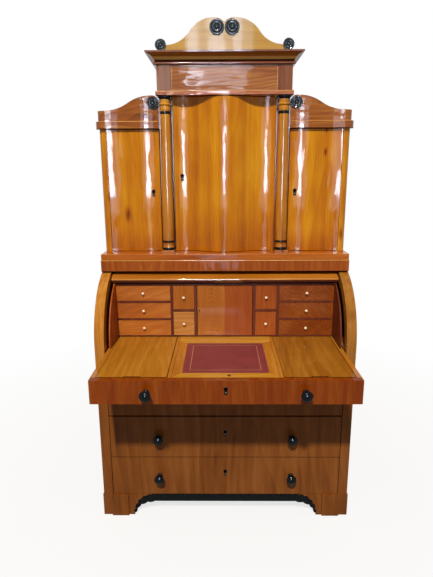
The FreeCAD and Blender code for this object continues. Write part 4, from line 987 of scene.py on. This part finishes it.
writing_top = [wood["bright_cherry_slope_rails"], wood["orange_cherry_slope_stiles"], joint_dirt_and_shade]
for node in ("slope_frame", "slide_frame"):
    eased(node, writing_top, ease_mm=FRAME_EASE_MM, pick=writing_top_finish, edge_finish=2)
for side in ("left", "right"):
    lid_finishes = [wood["olive_cherry_" + side + "_lid"], joint_dirt_and_shade]
    eased(side + "_lid", lid_finishes, ease_mm=LID_EASE_MM, edge_finish=1)
print("boards of the writing top:", sum(len(solids_of(node)) for node in ("slope_frame", "slide_frame")))

# %% [markdown]
# ## Small drawers
#
# A small drawer is one node with a veneered front, a plain box and a bone knob. The knob is the only tiny
# solid, and the front is the only other one that starts ahead of the prospect door's back, so sizes and
# places tell them apart.

# %% Small drawers
KNOB_SIZE = 20 * MM
FRONT_MARGIN = 2 * MM
fronts_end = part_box("prospect_door")[1].y - FRONT_MARGIN
small_fronts = {
    "left_outer_drawer": "red_cherry_small_drawers", "left_inner_drawer_top": "figured_cherry_prospect",
    "left_inner_drawer_bottom": "golden_cherry_small_drawer", "right_inner_drawer": "red_cherry_prospect",
    "right_outer_drawer": "dark_cherry_small_drawers",
}


def small_drawer_finish(centre, normal, low, high):
    if max(high - low) < KNOB_SIZE:
        return 1
    return 0 if low.y < fronts_end else 2


for start, name in small_fronts.items():
    for node in [node for node in body_of if node.startswith(start)]:
        eased(node, [wood[name], bone, wood["plain_inner_wood"]], pick=small_drawer_finish)
print("eased pieces:", len(pieces))

# %% [markdown]
# ## Plain boards and pins
#
# The boards inside keep their CAD shape and get the plain wood. The pins are brass and the arms of the fall
# are iron.

# %% Finishes on CAD nodes
for node, shape in frame["nodes"].items():
    if node in pieces:
        continue
    finish = {"brass": brass, "iron": iron}.get(slot_of[node], wood["plain_inner_wood"])
    shape.data.materials.clear()
    shape.data.materials.append(finish)
print("CAD nodes that stay:", [node for node in frame["nodes"] if node not in pieces])

# %% [markdown]
# ## Lines that follow a path
#
# A keyhole has a thin metal liner that follows its outline, the frieze has a thin pale line round its
# panel, and the leather has a gold line of small tooled strokes. All follow a path, so each is a small node
# tree: one sweeps a round section along the path, and the other sets strokes at even steps along it. The
# path is a loop of edges.

# %% Swept line
SECTION_CORNERS = 8


def path_tree(name, values):
    """A tree that takes a path, values and a finish. Returns the tree, its inputs and its path."""
    tree = bpy.data.node_groups.new(name, "GeometryNodeTree")
    tree.interface.new_socket("Geometry", in_out="INPUT", socket_type="NodeSocketGeometry")
    tree.interface.new_socket("Geometry", in_out="OUTPUT", socket_type="NodeSocketGeometry")
    for value in values:
        tree.interface.new_socket(value, in_out="INPUT", socket_type="NodeSocketFloat")
    tree.interface.new_socket("Finish", in_out="INPUT", socket_type="NodeSocketMaterial")
    given = add(tree, "NodeGroupInput").outputs
    return tree, given, add(tree, "GeometryNodeMeshToCurve", {"Mesh": given["Geometry"]}).outputs[0]


def end_tree(tree, geometry, finish):
    real = add(tree, "GeometryNodeRealizeInstances", {"Geometry": geometry}).outputs[0]
    real = add(tree, "GeometryNodeSetMaterial", {"Geometry": real, "Material": finish}).outputs[0]
    add(tree, "NodeGroupOutput", {"Geometry": real})
    return tree


tree, given, curve = path_tree("swept_line", ["Radius"])
ring = {"Resolution": SECTION_CORNERS, "Radius": given["Radius"]}
section = add(tree, "GeometryNodeCurvePrimitiveCircle", ring).outputs[0]
sweep = {"Curve": curve, "Profile Curve": section, "Fill Caps": True}
swept_line = end_tree(tree, add(tree, "GeometryNodeCurveToMesh", sweep).outputs[0], given["Finish"])
print("tree:", swept_line.name, "nodes:", len(swept_line.nodes))

# %% Line of strokes
tree, given, curve = path_tree("stroke_line", ["Step", "Stroke", "Width", "Height"])
spacing = {"Curve": curve, "Length": given["Step"]}
even = add(tree, "GeometryNodeResampleCurve", spacing, mode="LENGTH").outputs[0]
sides = {"X": given["Stroke"], "Y": given["Width"], "Z": given["Height"]}
stroke_size = add(tree, "ShaderNodeCombineXYZ", sides).outputs[0]
stroke = add(tree, "GeometryNodeMeshCube", {"Size": stroke_size}).outputs[0]
along = add(tree, "GeometryNodeInputTangent").outputs[0]
turn = add(tree, "FunctionNodeAlignRotationToVector", {"Vector": along}, axis="X").outputs[0]
placing = {"Points": even, "Instance": stroke, "Rotation": turn}
stroke_line = end_tree(tree, add(tree, "GeometryNodeInstanceOnPoints", placing).outputs[0], given["Finish"])
print("tree:", stroke_line.name, "nodes:", len(stroke_line.nodes))

# %% [markdown]
# ## From a path to a piece
#
# The tree works as a modifier on an object that holds only the path. A modifier's inputs go by the socket's
# identifier, and they are set before the object is first looked at. The result is taken as a plain mesh,
# and the object with its modifier goes. A new piece then rides on a body.

# %% From a path to a piece


def along_path(tree, points, values):
    """The plain mesh that a path tree makes along a closed line of points."""
    source = bpy.data.meshes.new("path")
    source.from_pydata(points, [(place, (place + 1) % len(points)) for place in range(len(points))], [])
    obj = bpy.data.objects.new("path", source)
    bpy.context.scene.collection.objects.link(obj)
    nodes = obj.modifiers.new("nodes", "NODES")
    nodes.node_group = tree
    for item in tree.interface.items_tree:
        if item.in_out == "INPUT" and item.name in values:
            nodes[item.identifier] = values[item.name]
    mesh = bpy.data.meshes.new_from_object(obj.evaluated_get(bpy.context.evaluated_depsgraph_get()))
    bpy.data.objects.remove(obj)
    bpy.data.meshes.remove(source)
    return mesh


def new_piece(name, mesh, body):
    mesh.name = name
    obj = bpy.data.objects.new(name, mesh)
    bpy.context.scene.collection.objects.link(obj)
    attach(obj, body)
    print("piece:", name, "faces:", len(mesh.polygons))


print("bodies to ride on:", len(bodies))

# %% [markdown]
# ## Plates on a surface
#
# Small fittings are thin plates. The doors are curved, so a ray from the front finds the surface and its
# slope there, and the plate is turned to lie on it. Plates of different finishes are merged into one piece.

# %% Finding the surface
RAY_START_Y = -5


def front_of(node, x, z):
    """Where a piece is met from the front at x and z, as a matrix with Z pointing out of the surface."""
    mesh = pieces[node].data
    surface = BVHTree.FromPolygons([v.co for v in mesh.vertices], [p.vertices[:] for p in mesh.polygons])
    place, normal, _, _ = surface.ray_cast(Vector((x, RAY_START_Y, z)), Vector((0, 1, 0)))
    across = Vector((0, 0, 1)).cross(normal).normalized()
    return Matrix.Translation(place) @ Matrix((across, normal.cross(across), normal)).transposed().to_4x4()


print("front of the centre door:", round(front_of("centre_door", 0, 1.5).translation.y, 3), "m")

# %% Plates


def plate(outline, depth, finish):
    """A flat closed plate of an outline, from z = 0 to z = depth."""
    mesh = bpy.data.meshes.new("plate")
    count = len(outline)
    points = [(x, y, z) for z in (0, depth) for x, y in outline]
    sides = [(a, (a + 1) % count, count + (a + 1) % count, count + a) for a in range(count)]
    mesh.from_pydata(points, [], [list(range(count))[::-1], list(range(count, 2 * count))] + sides)
    mesh.materials.append(finish)
    return mesh


def box_outline(length, width):
    return [(sx * length / 2, sy * width / 2) for sx, sy in ((-1, -1), (1, -1), (1, 1), (-1, 1))]


def merged(meshes):
    """One mesh from several, each with its own finish."""
    whole = bmesh.new()
    for index, mesh in enumerate(meshes):
        for face in mesh.polygons:
            face.material_index = index
        whole.from_mesh(mesh)
    result = bpy.data.meshes.new("merged")
    whole.to_mesh(result)
    whole.free()
    for mesh in meshes:
        result.materials.append(mesh.materials[0])
        bpy.data.meshes.remove(mesh)
    return result


print("corners of a plate of 1 by 1 m:", box_outline(1, 1))

# %% [markdown]
# ## Keyholes
#
# A keyhole is a round hole with a slot below it. Its outline is an arc and three straight lines. A dark
# plate of that outline stands for the hole, a swept line is its liner, and a small disc is the steel pin of
# the lock that glints low in the slot. The prospect door has a smaller one, lined with brass.

# %% Outlines of a keyhole
HOLE = (15 * MM, 30 * MM)
SMALL_HOLE = (9 * MM, 17 * MM)
SLOT_SHARE = 0.72      # of the hole's width
ARC_STEPS = 16
PIN_SHARE = 0.18      # its radius, of the hole's width
PIN_PLACE = 0.3      # its middle, of the hole's height
PIN_CORNERS = 12


def keyhole_outline(width, height):
    """Points of a keyhole about its middle, anticlockwise seen from the front."""
    radius = width / 2
    half_slot = radius * SLOT_SHARE
    opening = math.asin(SLOT_SHARE)
    top = height / 2 - radius
    start, sweep = opening - math.pi / 2, 2 * math.pi - 2 * opening
    turns = [start + sweep * step / ARC_STEPS for step in range(ARC_STEPS + 1)]
    arc = [(radius * math.cos(t), top + radius * math.sin(t)) for t in turns]
    return arc + [(-half_slot, -height / 2), (half_slot, -height / 2)]


def pin_outline(width, height):
    """Points of the lock's round pin, low in the slot."""
    radius, middle = PIN_SHARE * width, PIN_PLACE * height - height / 2
    turns = [2 * math.pi * step / PIN_CORNERS for step in range(PIN_CORNERS)]
    return [(radius * math.cos(t), middle + radius * math.sin(t)) for t in turns]


print("points of a keyhole:", len(keyhole_outline(*HOLE)))

# %% Keyholes
LINER_RADIUS = 1.2 * MM
HOLLOW_DEPTH = 0.6 * MM
PIN_PROUD = 0.5 * MM


def keyhole(node, x, z, size=HOLE, metal=iron):
    outline = keyhole_outline(*size)
    hole = plate(outline, HOLLOW_DEPTH, hollow)
    pin = plate(pin_outline(*size), HOLLOW_DEPTH + PIN_PROUD, steel)
    path = [(px, py, 0) for px, py in outline]
    liner = along_path(swept_line, path, {"Radius": LINER_RADIUS, "Finish": metal})
    mesh = merged([hole, pin, liner])
    mesh.transform(front_of(node, x, z))
    new_piece(node + "_keyhole", mesh, body_of[node])


for node, x, z in (
    ("centre_door", -0.191, 1.530), ("left_wing_door", -0.322, 1.461), ("right_wing_door", 0.318, 1.463),
    ("slide_front", 0.0, 0.761), ("top_drawer_front", 0.0, 0.62), ("middle_drawer_front", 0.0, 0.419),
    ("bottom_drawer_front", 0.0, 0.220),
):
    keyhole(node, x, z)
keyhole("prospect_door", -0.116, 0.928, SMALL_HOLE, brass)

# %% [markdown]
# ## The gold line of the leather
#
# A gold line runs round the leather, well inside its edge. It was pressed in with a hot wheel and is a row
# of short strokes. Real ones are finer, so they are drawn a little coarser here to show at all.

# %% The gold line
LINE_INSET = Vector((29 * MM, 29 * MM, 0))
STROKE = {"Step": 5 * MM, "Stroke": 3.8 * MM, "Width": 2.2 * MM, "Height": 0.3 * MM, "Finish": gold}
leather_low, leather_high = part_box("slope_leather")
low, high = leather_low + LINE_INSET, leather_high - LINE_INSET
corners = [(x, y, high.z) for x, y in ((low.x, low.y), (high.x, low.y), (high.x, high.y), (low.x, high.y))]
new_piece("leather_gold_line", along_path(stroke_line, corners, STROKE), "writing_slope")

# %% [markdown]
# ## Lock plates
#
# The slide's lock shoots up into the fall, so a brass plate lies in the top of the slide's front and
# another in the lip of the fall. The lip is found by its finish, so the plate follows if the fall changes.

# %% Lock plates
BRASS_DEPTH = 0.4 * MM
SLIDE_PLATE = (170 * MM, 5 * MM)
SLIDE_PLATE_INSET = 9 * MM
FALL_PLATE = (130 * MM, 10 * MM)
FALL_PLATE_X = 0.014
slide_plate = plate(box_outline(*SLIDE_PLATE), BRASS_DEPTH, brass)
slide_plate.transform(Matrix.Translation((0, slide_low.y + SLIDE_PLATE_INSET, slide_high.z)))
new_piece("slide_lock_plate", slide_plate, "writing_slide")
lip_heights = [face.center.z for face in fall.data.polygons if face.material_index == 1]
fall_plate = plate(box_outline(*FALL_PLATE), BRASS_DEPTH, brass)
fall_plate.transform(front_of("fall_panel", FALL_PLATE_X, sum(lip_heights) / len(lip_heights)))
new_piece("fall_strike_plate", fall_plate, "fall")

# %% [markdown]
# ## The pale line of the frieze and the pull tab
#
# A thin pale line runs round the frieze's panel, on the front face of the panel's foremost board. A small
# leather tab at the front of the slope lifts it.

# %% Pale line and tab
PALE_LINE_INSET = 4 * MM
PALE_LINE_RADIUS = 0.8 * MM
FRONT_REACH = 20 * MM
TAB = (12 * MM, 15 * MM)
TAB_DEPTH = 1.2 * MM
TAB_X = 0.013
TAB_INSET = 14 * MM
for points, _ in solids_of("frieze"):
    low, high = corners_of(points)
    if high.x - low.x > LONG_BOARD and low.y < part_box("architrave")[0].y + FRONT_REACH:
        x, low_z, high_z = high.x - PALE_LINE_INSET, low.z + PALE_LINE_INSET, high.z - PALE_LINE_INSET
        corners = [(-x, low.y, low_z), (x, low.y, low_z), (x, low.y, high_z), (-x, low.y, high_z)]
        pale_line_mesh = along_path(swept_line, corners, {"Radius": PALE_LINE_RADIUS, "Finish": pale_line})
        new_piece("frieze_pale_line", pale_line_mesh, "carcass")
slope_low, slope_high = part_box("slope_frame")
tab = plate(box_outline(*TAB), TAB_DEPTH, tab_leather)
tab.transform(Matrix.Translation((TAB_X, slope_low.y + TAB_INSET, slope_high.z)))
new_piece("slope_pull_tab", tab, "writing_slope")

# %% [markdown]
# ## Picture settings
#
# The Standard view transform shows colours as they are written.

# %% Finish
bpy.context.scene.view_settings.view_transform = "Standard"
